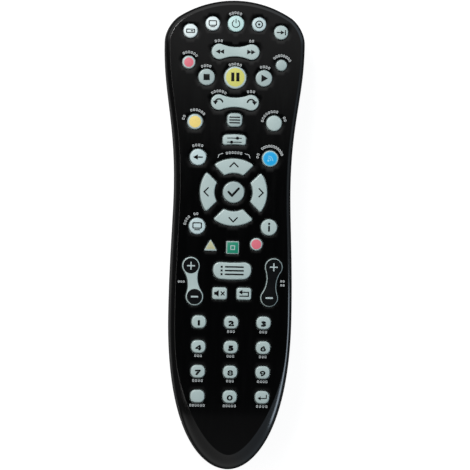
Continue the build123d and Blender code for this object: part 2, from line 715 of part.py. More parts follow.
def rails():
    """The ledge round the bay's mouth that the cover lies under and its hooks run along."""
    root_x = COVER_HALF_WIDTH + LEDGE_ROOT
    tail_y = BAY_TAIL_Y - BAY_WALL
    root_y = COVER_HEAD_Y + LEDGE_ROOT
    ledge = block((-root_x, root_x), (tail_y, root_y), (RAIL_BOTTOM_Z, RAIL_TOP_Z))
    ledge -= block((-RAIL_INNER_X, RAIL_INNER_X), (tail_y - OVERRUN, BAY_HEAD_Y), (0, CREST_Z))
    frame = block((-root_x, root_x), (tail_y, root_y), (LEDGE_SINK, RAIL_TOP_Z))
    frame -= block((-COVER_HALF_WIDTH, COVER_HALF_WIDTH), (tail_y - OVERRUN, COVER_HEAD_Y), (0, CREST_Z))
    return ledge + frame


def lip_limits(side, grow):
    """Where one of the cover's two head lips lies, grown by a gap."""
    outer_x = RAIL_INNER_X - RAIL_GAP
    inner_x = outer_x - COVER_LIP_WIDTH
    x_range = sorted((side * (inner_x - grow), side * (outer_x + grow)))
    z_low = COVER_INNER_Z + SEAM_GAP
    y_range = (COVER_HEAD_Y - COVER_HEAD_REACH, COVER_HEAD_Y + COVER_LIP_REACH + grow)
    return x_range, y_range, (z_low, z_low + COVER_LIP_THICKNESS + grow)


def make_bottom_case(outer, shell, window_cut):
    """The lower shell: floor, seam lip, battery bay with its rails, board posts and screw bosses."""
    case = shell & block((-WIDTH, WIDTH), (-LENGTH, LENGTH), (-OVERRUN, PARTING_Z))
    lip = outline(SIDE_WALL - LIP_WALL) - outline(SIDE_WALL)
    case += prism(lip, PARTING_Z - SEAM_MARGIN, PARTING_Z + LIP_HEIGHT)
    case -= cover_zone(0)
    case -= block((-WIDTH, WIDTH), (-LENGTH, COVER_STEP_Y), (0, CREST_Z))
    case += (rails() & outer) + bay_walls()
    for side in (-1, 1):
        x_range, y_range, z_range = lip_limits(side, COVER_GAP)
        case -= block(x_range, (BAY_HEAD_Y - BAY_WALL, y_range[1]), (COVER_INNER_Z, z_range[1]))
        tab_x = side * CELL_X
        half_tab = TAB_WIDTH / 2 + TAB_CLEARANCE
        y_slot = (BAY_HEAD_Y - 2 * PLATE_THICKNESS - TAB_CLEARANCE, BAY_HEAD_Y)
        case -= block((tab_x - half_tab, tab_x + half_tab), y_slot, (CELL_TOP_Z, CREST_Z))
    for x, y in screw_places():
        radius = SCREW_HEAD_RADIUS + HEAD_CLEARANCE
        case += disc(x, y, radius + BOSS_WALL, back_z(y) + FLOOR_WALL / 2, seat_z(y) + SEAT_THICKNESS)
        case -= disc(x, y, radius, -OVERRUN, seat_z(y))
        case -= disc(x, y, SCREW_RADIUS + SHANK_CLEARANCE, 0, seat_z(y) + 2 * SEAT_THICKNESS)
    for shares in POST_PLACE_SHARES:
        x, y = place(shares)
        top = board_z(y + POST_RADIUS) - BOARD_THICKNESS - BOARD_GAP
        case += disc(x, y, POST_RADIUS, back_z(y) + FLOOR_WALL / 2, top)
    return case - window_cut


def make_cover(outer, cavity):
    """The battery cover: panel, tail cup, two pairs of hooks, head lips and grip grooves."""
    cover = (outer - cavity) & cover_zone(COVER_GAP)
    cover -= block((-WIDTH, WIDTH), (-LENGTH, LENGTH), (-OVERRUN, COVER_RECESS))
    cover -= block((-WIDTH, WIDTH), (COVER_STEP_Y, COVER_HEAD_Y), (COVER_INNER_Z, PARTING_Z))
    for side in (-1, 1):
        inner = RAIL_INNER_X - RAIL_GAP - HOOK_WALL
        stem_x = sorted((side * inner, side * (inner + HOOK_WALL)))
        foot_x = sorted((side * inner, side * (BAY_HALF_WIDTH - RAIL_GAP)))
        for share in HOOK_SHARES:
            y = BAY_HEAD_Y - BAY_LENGTH * share
            y_range = (y - HOOK_LENGTH / 2, y + HOOK_LENGTH / 2)
            cover += block(stem_x, y_range, (COVER_INNER_Z - LEDGE_SINK, HOOK_TOP_Z))
            cover += block(foot_x, y_range, (HOOK_TOP_Z - HOOK_WALL, HOOK_TOP_Z))
        x_range, y_range, z_range = lip_limits(side, 0)
        cover += block(x_range, y_range, z_range)
        cover += block(x_range, (y_range[0], COVER_HEAD_Y - COVER_GAP), (COVER_INNER_Z - LEDGE_SINK, z_range[1]))
    for count in range(GRIP_COUNT):
        y = BAY_HEAD_Y - BAY_LENGTH * GRIP_SHARE - GRIP_PITCH * count
        half = GRIP_LENGTH / 2
        cover -= block((-half, half), (y - GRIP_WIDTH, y), (-OVERRUN, COVER_RECESS + GRIP_DEPTH))
    return cover


def board_outline():
    """The circuit board in plan, with a notch for each infrared emitter."""
    face = outline(SIDE_WALL + BOARD_EDGE_GAP)
    head_y = HALF_LENGTH * BOARD_HEAD_SHARE
    tail_y = HALF_LENGTH * BOARD_TAIL_SHARE
    face &= Pos(0, (head_y + tail_y) / 2) * Rectangle(2 * WIDTH, head_y - tail_y)
    notch_y = HALF_LENGTH * LED_START_SHARE - LED_NOTCH_CLEARANCE
    for share in LED_PLACE_SHARES:
        width = LED_RIM_DIA + 2 * LED_NOTCH_CLEARANCE
        face -= Pos(HALF_WIDTH * share, (notch_y + HALF_LENGTH) / 2) * Rectangle(width, HALF_LENGTH - notch_y)
    boss_radius = SCREW_RADIUS + PILOT_CLEARANCE + BOSS_WALL + HEAD_CLEARANCE
    for x, y in screw_places():
        face -= Pos(x, y) * Circle(boss_radius)
    return face


def make_board():
    """The circuit board."""
    return sloped_slab(board_outline(), -BOARD_THICKNESS, 0)


def make_sheet(pushes, rockers):
    """The silicone sheet, with a hole for every plunger."""
    face = board_outline() - plunger_holes(pushes, rockers)
    return sloped_slab(face, SHEET_GAP, SHEET_GAP + SHEET_THICKNESS)


def make_emitters():
    """The two infrared emitters: a rim, a body and a round nose each, in the board's notches."""
    solids = []
    start = HALF_LENGTH * LED_START_SHARE
    z = board_z(start) - BOARD_THICKNESS / 2
    radius = LED_DIA / 2
    for share in LED_PLACE_SHARES:
        x = HALF_WIDTH * share
        emitter = bar(x, z, LED_RIM_DIA / 2, start, start + LED_RIM_LENGTH)
        emitter += bar(x, z, radius, start, start + LED_LENGTH - radius)
        emitter += Pos(x, start + LED_LENGTH - radius, z) * Sphere(radius)
        solids.append(emitter)
    return Compound(children=solids)


def make_board_parts():
    """The chip, the resonator and the capacitor on the board's underside."""
    chip_plan = Pos(*place(CHIP_SHARES)) * Rectangle(CHIP_SIDE, CHIP_SIDE)
    chip = sloped_slab(chip_plan, -BOARD_THICKNESS - CHIP_HEIGHT, -BOARD_THICKNESS)
    width, depth, height = RESONATOR_SIZE
    resonator_plan = Pos(*place(RESONATOR_SHARES)) * SlotOverall(width, depth)
    resonator = sloped_slab(resonator_plan, -BOARD_THICKNESS - height, -BOARD_THICKNESS)
    capacitor_plan = Pos(*place(CAPACITOR_SHARES)) * Circle(CAPACITOR_DIA / 2)
    capacitor = sloped_slab(capacitor_plan, -BOARD_THICKNESS - CAPACITOR_HEIGHT, -BOARD_THICKNESS)
    return chip, resonator, capacitor


def make_screws():
    """Four pan-head screws with a cross recess, heads inside the counterbores."""
    solids = []
    for x, y in screw_places():
        seat = seat_z(y)
        screw = disc(x, y, SCREW_HEAD_RADIUS, seat - SCREW_HEAD_HEIGHT, seat)
        screw += disc(x, y, SCREW_RADIUS, seat, seat + SCREW_LENGTH)
        z_range = (seat - SCREW_HEAD_HEIGHT, seat - SCREW_HEAD_HEIGHT + SCREW_RECESS_DEPTH)
        reach = SCREW_RECESS_REACH
        half = SCREW_RECESS_WIDTH / 2
        screw -= block((x - reach, x + reach), (y - half, y + half), z_range)
        screw -= block((x - half, x + half), (y - reach, y + reach), z_range)
        solids.append(screw)
    return Compound(children=solids)


def make_cell(side, button_end):
    """One AA cell whose button end points to the head (1) or to the tail (-1)."""
    x = side * CELL_X
    inset = PLATE_GAP + PLATE_THICKNESS + CELL_END_GAP
    tip = BAY_HEAD_Y - inset if button_end > 0 else BAY_TAIL_Y + inset
    shoulder = tip - button_end * CELL_BUTTON_LENGTH
    base = tip - button_end * CELL_LENGTH
    can = bar(x, CELL_Z, CELL_RADIUS, min(shoulder, base), max(shoulder, base))
    can = fillet(can.edges().filter_by(GeomType.CIRCLE), CELL_EDGE_RADIUS)
    button = bar(x, CELL_Z, CELL_BUTTON_DIA / 2, min(tip, base), max(tip, base))
    return can + button


def spring_cone(side, seat_y, heading):
    """A conical contact spring, as a tapering sleeve from its plate towards its cell."""
    length = SPRING_LENGTH
    sleeve = Cone(SPRING_BASE_RADIUS, SPRING_TIP_RADIUS, length)
    sleeve -= Cone(SPRING_BASE_RADIUS - SPRING_WALL, SPRING_TIP_RADIUS - SPRING_WALL, length)
    turn = -90 * heading
    return Pos(side * CELL_X, seat_y + heading * length / 2, CELL_Z) * Rot(turn, 0, 0) * sleeve


def make_contacts():
    """The springs at the cells' flat ends, and the plates behind both ends of each cell."""
    head_face = BAY_HEAD_Y - PLATE_GAP
    tail_face = BAY_TAIL_Y + PLATE_GAP
    springs = [
        spring_cone(1, head_face - PLATE_THICKNESS, -1),
        spring_cone(-1, tail_face + PLATE_THICKNESS, 1),
    ]
    half_height = PLATE_HEIGHT / 2
    half_width = PLATE_WIDTH / 2
    z_range = (CELL_Z - half_height, CELL_Z + half_height)
    plates = []
    for side in (-1, 1):
        x = side * CELL_X
        y_range = (head_face - PLATE_THICKNESS, head_face)
        plate = block((x - half_width, x + half_width), y_range, z_range)
        tab_top = board_z(head_face) - BOARD_THICKNESS - SHEET_GAP
        plate += block((x - TAB_WIDTH / 2, x + TAB_WIDTH / 2), y_range, (CELL_Z, tab_top))
        plates.append(plate)
    reach = CELL_X + half_width
    plates.append(block((-reach, reach), (tail_face, tail_face + PLATE_THICKNESS), z_range))
    return Compound(children=springs), Compound(children=plates)


def build():
    """Every node of the remote by name."""
    pushes = key_shapes()
    rockers = rocker_shapes()
    outer = outer_body()
    cavity = inner_cavity()
    shell = outer - cavity
    window_cut = block(*window_limits(WINDOW_GAP))
    nodes = {
        "top_case": make_top_case(shell, pushes, rockers),
        "bottom_case": make_bottom_case(outer, shell, window_cut),
        "battery_cover": make_cover(outer, cavity),
        "ir_window": make_window(outer, cavity),
        "keypad_sheet": make_sheet(pushes, rockers),
        "circuit_board": make_board(),
        "ir_emitters": make_emitters(),
        "case_screws": make_screws(),
        "cell_left": make_cell(-1, 1),
        "cell_right": make_cell(1, -1),
    }
    nodes["controller_chip"], nodes["resonator"], nodes["capacitor"] = make_board_parts()
    nodes["spring_contacts"], nodes["plate_contacts"] = make_contacts()
    for name, (shape, at) in pushes.items():
        nodes[name] = push_key(shape, at)
    for name, (shape, at, turn, sizes) in rockers.items():
        nodes[name] = rocker_key(shape, at, turn, sizes)
    return nodes


os.makedirs("parts", exist_ok=True)
for node_name, node_solid in build().items():
    export_step(node_solid, "parts/" + node_name + ".step")
print("overall height", round(CREST_Z, 2))
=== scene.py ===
"""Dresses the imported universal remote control.

The gloss upper shell, the forty-five keys and the contact springs are rebuilt here as fine surfaces, the
printed signs are laid on them as thin inlays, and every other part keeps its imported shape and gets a
finish. Shapes are worked out in millimetres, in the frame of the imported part, and the meshes are in metres.
"""

import logging
import math
from dataclasses import dataclass, field
from enum import Enum

import bmesh
import bpy
import numpy as np
from mathutils import Matrix, Vector
from mathutils.geometry import delaunay_2d_cdt


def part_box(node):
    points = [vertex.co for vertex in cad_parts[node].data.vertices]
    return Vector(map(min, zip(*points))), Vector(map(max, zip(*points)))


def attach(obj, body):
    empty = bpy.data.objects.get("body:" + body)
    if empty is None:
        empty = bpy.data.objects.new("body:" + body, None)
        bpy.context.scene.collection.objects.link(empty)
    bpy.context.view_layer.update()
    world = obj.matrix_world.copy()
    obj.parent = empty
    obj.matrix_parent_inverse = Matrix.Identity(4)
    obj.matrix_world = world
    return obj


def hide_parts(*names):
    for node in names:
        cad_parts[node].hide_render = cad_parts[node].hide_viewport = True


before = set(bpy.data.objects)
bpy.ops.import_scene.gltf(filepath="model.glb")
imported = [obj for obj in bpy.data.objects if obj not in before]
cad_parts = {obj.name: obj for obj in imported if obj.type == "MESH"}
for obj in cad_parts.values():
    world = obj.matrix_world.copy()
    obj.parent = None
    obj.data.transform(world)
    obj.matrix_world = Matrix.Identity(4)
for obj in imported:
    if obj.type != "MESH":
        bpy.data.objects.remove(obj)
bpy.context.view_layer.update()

MM = 0.001

# Sizes in millimetres within which points are one, and what stands for the rise of a level side
WELD = 0.0008
SAME_POINT = 1e-6
LEVEL_RISE = 1e-12

# Gap between a lattice and an outline in steps, and steps along a curve and round a letter
LATTICE_GAP = 0.6
FINE_STEPS = 800
LETTER_STEPS = 6

# Angles in degrees above which an edge is shaded sharp
SHELL_CREASE = 30.0
KEY_CREASE = 38.0
PRINT_CREASE = 60.0
WIRE_CREASE = 80.0

log = logging.getLogger("remote")


def packed_box(node: str) -> np.ndarray:
    """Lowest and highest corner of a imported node, in millimetres, as two rows."""
    return np.array([list(corner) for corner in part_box(node)]) / MM


# Plane curves


def unit(vectors: np.ndarray) -> np.ndarray:
    """Each row divided by its length."""
    return vectors / np.linalg.norm(vectors, axis=-1, keepdims=True)


def arc(radius: float, start: float, end: float, count: int, centre: tuple = (0.0, 0.0)) -> np.ndarray:
    """Points centre + radius * (cos, sin) of even angles between two angles in degrees."""
    angles = np.radians(np.linspace(start, end, count))
    return np.array(centre) + radius * np.stack([np.cos(angles), np.sin(angles)], axis=1)


def disc(radius: float, count: int, centre: tuple = (0.0, 0.0)) -> np.ndarray:
    """A full circle of this many points."""
    return arc(radius, 0, 360, count + 1, centre)[:-1]


def turned(points: np.ndarray, degrees: float) -> np.ndarray:
    """Points turned anticlockwise about the origin."""
    angle = math.radians(degrees)
    return points @ np.array([[math.cos(angle), math.sin(angle)], [-math.sin(angle), math.cos(angle)]])


def resample(loop: np.ndarray, count: int) -> np.ndarray:
    """A closed loop's outline at evenly spaced lengths: position as a function of the length walked.

    Args:
        loop: the outline's points.
        count: how many points to give.

    Returns:
        The new points.
    """
    closed = np.vstack([loop, loop[:1]])
    walked = np.concatenate([[0.0], np.cumsum(np.linalg.norm(np.diff(closed, axis=0), axis=1))])
    wanted = np.linspace(0.0, walked[-1], count, endpoint=False)
    return np.stack([np.interp(wanted, walked, closed[:, axis]) for axis in (0, 1)], axis=1)


def divided(loop: np.ndarray, step: float) -> np.ndarray:
    """A closed outline with further points on its long sides, none farther apart than a step.

    Args:
        loop: the outline's points.
        step: the longest side that may stay.

    Returns:
        The outline with its added points.
    """
    sides = np.roll(loop, -1, axis=0) - loop
    parts = np.maximum(1, np.ceil(np.linalg.norm(sides, axis=1) / step)).astype(int)
    index = np.repeat(np.arange(len(loop)), parts)
    share = (np.arange(len(index)) - (np.cumsum(parts) - parts)[index]) / parts[index]
    return loop[index] + sides[index] * share[:, None]


def outward(loop: np.ndarray) -> np.ndarray:
    """Outward normals of an anticlockwise loop: the chord between both neighbours, turned right."""
    along = unit(np.roll(loop, -1, axis=0) - np.roll(loop, 1, axis=0))
    return np.stack([along[:, 1], -along[:, 0]], axis=1)


def area(loop: np.ndarray) -> float:
    """A loop's area, below zero where it runs clockwise."""
    after = np.roll(loop, -1, axis=0)
    return float((loop[:, 0] * after[:, 1] - loop[:, 1] * after[:, 0]).sum() / 2)


def grown(loop: np.ndarray, amount: float | np.ndarray) -> np.ndarray:
    """A loop moved outwards along its normals by an amount, or by an amount for each point."""
    return loop + outward(loop) * np.broadcast_to(amount, len(loop))[:, None]


def rounded(corners: np.ndarray, radius: float, steps: int = 12) -> np.ndarray:
    """A convex anticlockwise polygon with an arc at each corner, tangent to both of its sides.

    With half the corner's angle a, the arc's centre lies radius / sin(a) inwards on the bisector, it starts
    radius / tan(a) back along the side before, and it sweeps pi - 2a.

    Args:
        corners: the polygon's corners.
        radius: radius of its arcs.
        steps: points on each arc.

    Returns:
        The outline.
    """
    corners = np.asarray(corners, float)
    to_last = unit(np.roll(corners, 1, axis=0) - corners)
    to_next = unit(np.roll(corners, -1, axis=0) - corners)
    half = np.arccos((to_last * to_next).sum(axis=1)) / 2
    centres = corners + unit(to_last + to_next) * (radius / np.sin(half))[:, None]
    first = corners + to_last * (radius / np.tan(half))[:, None] - centres
    sweep = (np.pi - 2 * half)[:, None] * np.linspace(0, 1, steps)
    angles = np.arctan2(first[:, 1], first[:, 0])[:, None] + sweep
    offsets = radius * np.stack([np.cos(angles), np.sin(angles)], axis=-1)
    return (centres[:, None] + offsets).reshape(-1, 2)


def stroke(points: np.ndarray, width: float, cap_steps: int = 7) -> np.ndarray:
    """The outline of a line drawn with a round pen: both offsets of its points, joined by two half circles.

    At a bend the offset runs along the mean normal, made longer by 1 / cos(half the bend).

    Args:
        points: the line's points in order.
        width: the pen's width.
        cap_steps: points on each half circle, its ends counted.

    Returns:
        The closed outline.
    """
    points = np.asarray(points, float)
    heads = unit(np.diff(points, axis=0))
    sides = np.stack([-heads[:, 1], heads[:, 0]], axis=1)
    before = np.vstack([sides[:1], sides])
    after = np.vstack([sides, sides[-1:]])
    mean = unit(before + after)
    reach = width / 2 / (mean * before).sum(axis=1)
    left = points + mean * reach[:, None]
    right = points - mean * reach[:, None]
    angle = math.degrees(math.atan2(heads[-1, 1], heads[-1, 0]))
    end_cap = arc(width / 2, angle - 90, angle + 90, cap_steps, points[-1])[1:-1]
    angle = math.degrees(math.atan2(heads[0, 1], heads[0, 0]))
    start_cap = arc(width / 2, angle + 90, angle + 270, cap_steps, points[0])[1:-1]
    return np.vstack([right, end_cap, left[::-1], start_cap])


def plus(reach: float, width: float) -> np.ndarray:
    """A cross of two equal bars, as one outline of twelve points.

    Args:
        reach: from the middle to each bar's end.
        width: width of the bars.

    Returns:
        The outline.
    """
    half = width / 2
    quarter = np.array([(reach, -half), (reach, half), (half, half)])
    return np.vstack([turned(quarter, 90 * step) for step in range(4)])


def bar(width: float, height: float, centre: tuple = (0.0, 0.0)) -> np.ndarray:
    """A plain rectangle about a centre."""
    half = np.array([width, height]) / 2
    return np.array([(-1, -1), (1, -1), (1, 1), (-1, 1)]) * half + np.array(centre)


def inside(points: np.ndarray, loop: np.ndarray) -> np.ndarray:
    """Whether each point lies in a loop: a ray to +X crosses its sides an odd number of times.

    Args:
        points: the points to test.
        loop: a closed outline.

    Returns:
        True for each point inside.
    """
    start, end = loop, np.roll(loop, -1, axis=0)
    rise = end[:, 1] - start[:, 1]
    rise[rise == 0] = LEVEL_RISE
    spans = (start[:, 1] > points[:, 1:2]) != (end[:, 1] > points[:, 1:2])
    share = (points[:, 1:2] - start[:, 1]) / rise
    crossing = start[:, 0] + share * (end[:, 0] - start[:, 0])
    return (spans & (crossing > points[:, :1])).sum(axis=1) % 2 == 1


def covered(points: np.ndarray, loops: list[np.ndarray]) -> np.ndarray:
    """Whether each point lies in an odd number of the loops, tested only inside each loop's own box.

    Args:
        points: the points to test.
        loops: closed outlines.

    Returns:
        True for each covered point.
    """
    odd = np.zeros(len(points), bool)
    for loop in loops:
        low, high = loop.min(axis=0), loop.max(axis=0)
        near = np.flatnonzero(((points >= low) & (points <= high)).all(axis=1))
        odd[near] ^= inside(points[near], loop)
    return odd


def lattice(loops: list[np.ndarray], step: float) -> np.ndarray:
    """Points of a triangular lattice in the region of the loops, with a gap to each loop's own points.

    Args:
        loops: closed outlines of the region.
        step: spacing of the points.

    Returns:
        The points that lie inside and clear of the outlines.
    """
    everything = np.vstack(loops)
    low, high = everything.min(axis=0), everything.max(axis=0)
    rows = np.arange(low[1], high[1], step * math.sin(math.radians(60)))
    columns = np.arange(low[0], high[0], step)
    x, y = np.meshgrid(columns, rows)
    x = x + (np.arange(len(rows)) % 2)[:, None] * step / 2
    points = np.stack([x.ravel(), y.ravel()], axis=1)
    points = points[covered(points, loops)]
    free = np.ones(len(points), bool)
    for loop in loops:
        low, high = loop.min(axis=0) - step, loop.max(axis=0) + step
        near = np.flatnonzero(((points >= low) & (points <= high)).all(axis=1))
        gaps = np.linalg.norm(points[near, None] - loop[None], axis=2).min(axis=1)
        free[near] &= gaps > LATTICE_GAP * step
    return points[free]


def fill(loops: list[np.ndarray], step: float | None = None) -> tuple[np.ndarray, np.ndarray]:
    """Triangles over the region that lies in an odd number of loops.

    Args:
        loops: closed outlines that don't cross each other.
        step: spacing of the inner points, or None for no inner points.

    Returns:
        The points, with one more wherever two sides cross, and anticlockwise triangles.
    """
    edges = []
    start = 0
    for loop in loops:
        index = start + np.arange(len(loop))
        edges.append(np.stack([index, np.roll(index, -1)], axis=1))
        start += len(loop)
    points = np.vstack(loops if step is None else [*loops, lattice(loops, step)])
    corners = [Vector(point) for point in points]
    result = delaunay_2d_cdt(corners, np.vstack(edges).tolist(), [], 0, SAME_POINT, False)
    points, triangles = np.array(result[0]), np.array(result[2])
    middles = points[triangles].mean(axis=1)
    return points, triangles[covered(middles, loops)]


# Closed surfaces


@dataclass
class Surface:
    """Points in millimetres and faces of one piece, gathered from grids, caps and plates."""

    points: list[np.ndarray] = field(default_factory=list)
    faces: list[np.ndarray] = field(default_factory=list)
    count: int = 0

    def add(self, points: np.ndarray, *faces: np.ndarray) -> None:
        """Adds points and the faces among them.

        Args:
            points: rows of three coordinates.
            *faces: arrays of rows of point numbers.
        """
        self.points.append(points)
        self.faces.extend(face + self.count for face in faces)
        self.count += len(points)

    def add_grid(self, rows: np.ndarray, closed: bool = True) -> None:
        """Adds a grid of rows of points, whose normal is (row step) x (column step), wrapped if closed.

        Args:
            rows: an array of rows, columns and three coordinates.
            closed: whether the last column joins the first.
        """
        high, wide = rows.shape[:2]
        index = np.arange(high * wide).reshape(high, wide)
        following = np.roll(index, -1, axis=1)
        if not closed:
            index, following = index[:, :-1], following[:, :-1]
        quads = np.stack([index[:-1], index[1:], following[1:], following[:-1]], axis=-1)
        self.add(rows.reshape(-1, 3), quads.reshape(-1, 4))

    def add_cap(self, centre: np.ndarray, ring: np.ndarray, first: bool) -> None:
        """Closes a grid's first or last row with triangles that meet in one point.

        Args:
            centre: the point that the triangles meet in.
            ring: the row to close.
            first: whether it is the grid's first row.
        """
        index = np.arange(len(ring)) + 1
        following = np.roll(index, -1)
        pair = (index, following) if first else (following, index)
        triangles = np.stack([np.zeros_like(index), *pair], axis=1)
        self.add(np.vstack([centre, ring]), triangles)

    def add_turned(self, rows: np.ndarray, first_pole: np.ndarray, last_pole: np.ndarray) -> None:
        """Adds a closed grid with a pole before its first row and another after its last.

        Args:
            rows: the grid.
            first_pole: point that closes its first row.
            last_pole: point that closes its last row.
        """
        self.add_grid(rows)
        self.add_cap(first_pole, rows[0], True)
        self.add_cap(last_pole, rows[-1], False)

    def add_plate(self, flat: np.ndarray, triangles: np.ndarray, top: np.ndarray, bottom: np.ndarray) -> None:
        """Adds a closed plate: triangles at two heights, and a wall along every edge that only one holds.

        Args:
            flat: the plate's points in plan.
            triangles: its triangles, anticlockwise.
            top: height of each point above.
            bottom: height of each point below.
        """
        size = len(flat)
        edges = triangles[:, [0, 1, 1, 2, 2, 0]].reshape(-1, 2)
        codes = edges[:, 0] * size + edges[:, 1]
        rim = edges[~np.isin(edges[:, 1] * size + edges[:, 0], codes)]
        wall = np.stack([rim[:, 0], rim[:, 0] + size, rim[:, 1] + size, rim[:, 1]], axis=1)
        points = np.vstack([np.column_stack([flat, top]), np.column_stack([flat, bottom])])
        self.add(points, triangles, triangles[:, ::-1] + size, wall)

    def make(self, name: str, material: bpy.types.Material, crease: float = 35.0) -> bpy.types.Object:
        """Puts the surface into a mesh, welds its seams, and shades it smooth below a crease angle.

        Args:
            name: name of the object and its mesh.
            material: its only material.
            crease: angle in degrees from which an edge stays sharp.

        Returns:
            The object.
        """
        mesh = bpy.data.meshes.new(name)
        faces = [face for block in self.faces for face in block.tolist()]
        mesh.from_pydata(np.vstack(self.points) * MM, [], faces)
        work = bmesh.new()
        work.from_mesh(mesh)
        bmesh.ops.remove_doubles(work, verts=work.verts, dist=WELD * MM)
        work.to_mesh(mesh)
        open_edges = sum(1 for edge in work.edges if len(edge.link_faces) != 2)
        work.free()
        mesh.polygons.foreach_set("use_smooth", np.ones(len(mesh.polygons), bool))
        mesh.set_sharp_from_angle(angle=math.radians(crease))
        mesh.materials.append(material)
        piece = bpy.data.objects.new(name, mesh)
        bpy.context.scene.collection.objects.link(piece)
        log.info("%s: %d faces, %d open edges", name, len(mesh.polygons), open_edges)
        return piece


def lifted(flat: np.ndarray, height: np.ndarray | float) -> np.ndarray:
    """Plane points with a height for each."""
    return np.column_stack([flat, np.broadcast_to(height, len(flat))])


# Shader graphs


class Number:
    """A number in a shader graph: arithmetic on it adds the Math nodes."""

    def __init__(self, graph: "Graph", socket: bpy.types.NodeSocket) -> None:
        """Wraps a socket of this graph."""
        self.graph = graph
        self.socket = socket

    def joined(self, operation: str, *values: "Number | float") -> "Number":
        """The Math node of an operation on these values."""
        return self.graph.number("ShaderNodeMath", {"operation": operation}, dict(enumerate(values)), 0)

    def __add__(self, other: "Number | float") -> "Number":
        """Sum."""
        return self.joined("ADD", self, other)

    __radd__ = __add__

    def __sub__(self, other: "Number | float") -> "Number":
        """Difference."""
        return self.joined("SUBTRACT", self, other)

    def __rsub__(self, other: "Number | float") -> "Number":
        """Difference from a plain number."""
        return self.joined("SUBTRACT", other, self)

    def __mul__(self, other: "Number | float") -> "Number":
        """Product."""
        return self.joined("MULTIPLY", self, other)

    __rmul__ = __mul__

    def __truediv__(self, other: "Number | float") -> "Number":
        """Quotient."""
        return self.joined("DIVIDE", self, other)

    def absolute(self) -> "Number":
        """Size without its sign."""
        return self.joined("ABSOLUTE", self)

    def fraction(self) -> "Number":
        """What is left over the whole number below."""
        return self.joined("FRACT", self)

    def smooth(self, low: float, high: float) -> "Number":
        """0 below low, 1 above high, and a smooth step between them."""
        settings = {"interpolation_type": "SMOOTHSTEP"}
        return self.graph.number("ShaderNodeMapRange", settings, {"Value": self, 1: low, 2: high}, 0)


class Graph:
    """The node tree of a material or of the sky, and the shader at its end."""

    def __init__(self, owner: bpy.types.Material | bpy.types.World, shader: str = "Principled BSDF") -> None:
        """Takes the owner's tree and finds its shader by name.

        Args:
            owner: the material or sky.
            shader: name of the shader node at its end.
        """
        owner.use_nodes = True
        self.owner = owner
        self.tree = owner.node_tree
        self.shader = self.tree.nodes[shader]

    def node(self, kind: str, settings: dict | None = None, sockets: dict | None = None) -> bpy.types.Node:
        """Adds a node: its settings first, then a value or a link for each named or numbered socket.

        Args:
            kind: the node's type.
            settings: its own settings.
            sockets: values or links of its inputs.

        Returns:
            The node.
        """
        made = self.tree.nodes.new(kind)
        for key, value in (settings or {}).items():
            setattr(made, key, value)
        for key, value in (sockets or {}).items():
            self.feed(made.inputs[key], value)
        return made

    def feed(self, socket: bpy.types.NodeSocket, value: object) -> None:
        """Links a socket to a number or another socket, or sets its plain value.

        Args:
            socket: the input.
            value: a number, a socket or a plain value.
        """
        if isinstance(value, Number):
            value = value.socket
        if isinstance(value, bpy.types.NodeSocket):
            self.tree.links.new(value, socket)
        else:
            socket.default_value = value

    def number(self, kind: str, settings: dict | None, sockets: dict, output: int | str) -> Number:
        """Adds a node and gives one of its outputs as a number."""
        return Number(self, self.node(kind, settings, sockets).outputs[output])

    def place(self, axis: str) -> Number:
        """The X, Y or Z of the shaded point in the part's own frame, in millimetres."""
        split = self.node("ShaderNodeSeparateXYZ", None, {0: self.spot()})
        return Number(self, split.outputs[axis]) / MM

    def spot(self) -> bpy.types.NodeSocket:
        """Object coordinates of the shaded point, in metres."""
        return self.node("ShaderNodeTexCoord").outputs["Object"]

    def noise(self, grain: float, detail: float = 2.0, stretch: tuple = (1.0, 1.0, 1.0)) -> Number:
        """Noise from 0 to 1 whose grains are this many millimetres wide, stretched along each axis.

        Args:
            grain: width of a grain in millimetres.
            detail: octaves of finer grain.
            stretch: how many times longer a grain is along each axis.

        Returns:
            The noise.
        """
        scale = tuple(1 / (grain * MM * along) for along in stretch)
        mapped = self.node("ShaderNodeMapping", None, {"Vector": self.spot(), "Scale": scale})
        sockets = {"Vector": mapped.outputs[0], "Scale": 1.0, "Detail": detail}
        return self.number("ShaderNodeTexNoise", None, sockets, 0)

    def mixed(self, factor: Number | float, first: object, second: object) -> bpy.types.NodeSocket:
        """A colour between two colours.

        Args:
            factor: 0 for the first colour and 1 for the second.
            first: a colour or a socket.
            second: a colour or a socket.

        Returns:
            The mixed colour.
        """
        node = self.node("ShaderNodeMix", {"data_type": "RGBA"}, {"Factor": factor})
        colours = [socket for socket in node.inputs if socket.type == "RGBA"]
        for socket, value in zip(colours, (first, second)):
            self.feed(socket, opaque(value) if isinstance(value, tuple) else value)
        return next(socket for socket in node.outputs if socket.type == "RGBA")

    def bump(self, height: Number, depth: float) -> bpy.types.NodeSocket:
        """A normal from a height of 0 to 1 that stands for this many millimetres."""
        return self.node("ShaderNodeBump", None, {"Height": height, "Distance": depth * MM}).outputs[0]

    def finish(self, **sockets: object) -> bpy.types.Material | bpy.types.World:
        """Feeds the shader's sockets, named with underscores for spaces, and gives the owner.

        Args:
            **sockets: a value, number or socket for each input.

        Returns:
            The material or sky.
        """
        for key, value in sockets.items():
            socket = self.shader.inputs[key.replace("_", " ")]
            self.feed(socket, opaque(value) if isinstance(value, tuple) and len(value) == 3 else value)
        return self.owner


def opaque(colour: tuple) -> tuple:
    """A colour with full alpha."""
    return (*colour[:3], 1.0)


def shaded(colour: tuple, factor: float) -> tuple:
    """A colour times a factor."""
    return tuple(channel * factor for channel in colour)


# Finishes


ALONG_BODY = (1.0, 9.0, 1.0)
ALONG_STREAK = (1.0, 14.0, 1.0)
ALONG_CELL = (1.0, 3.0, 1.0)


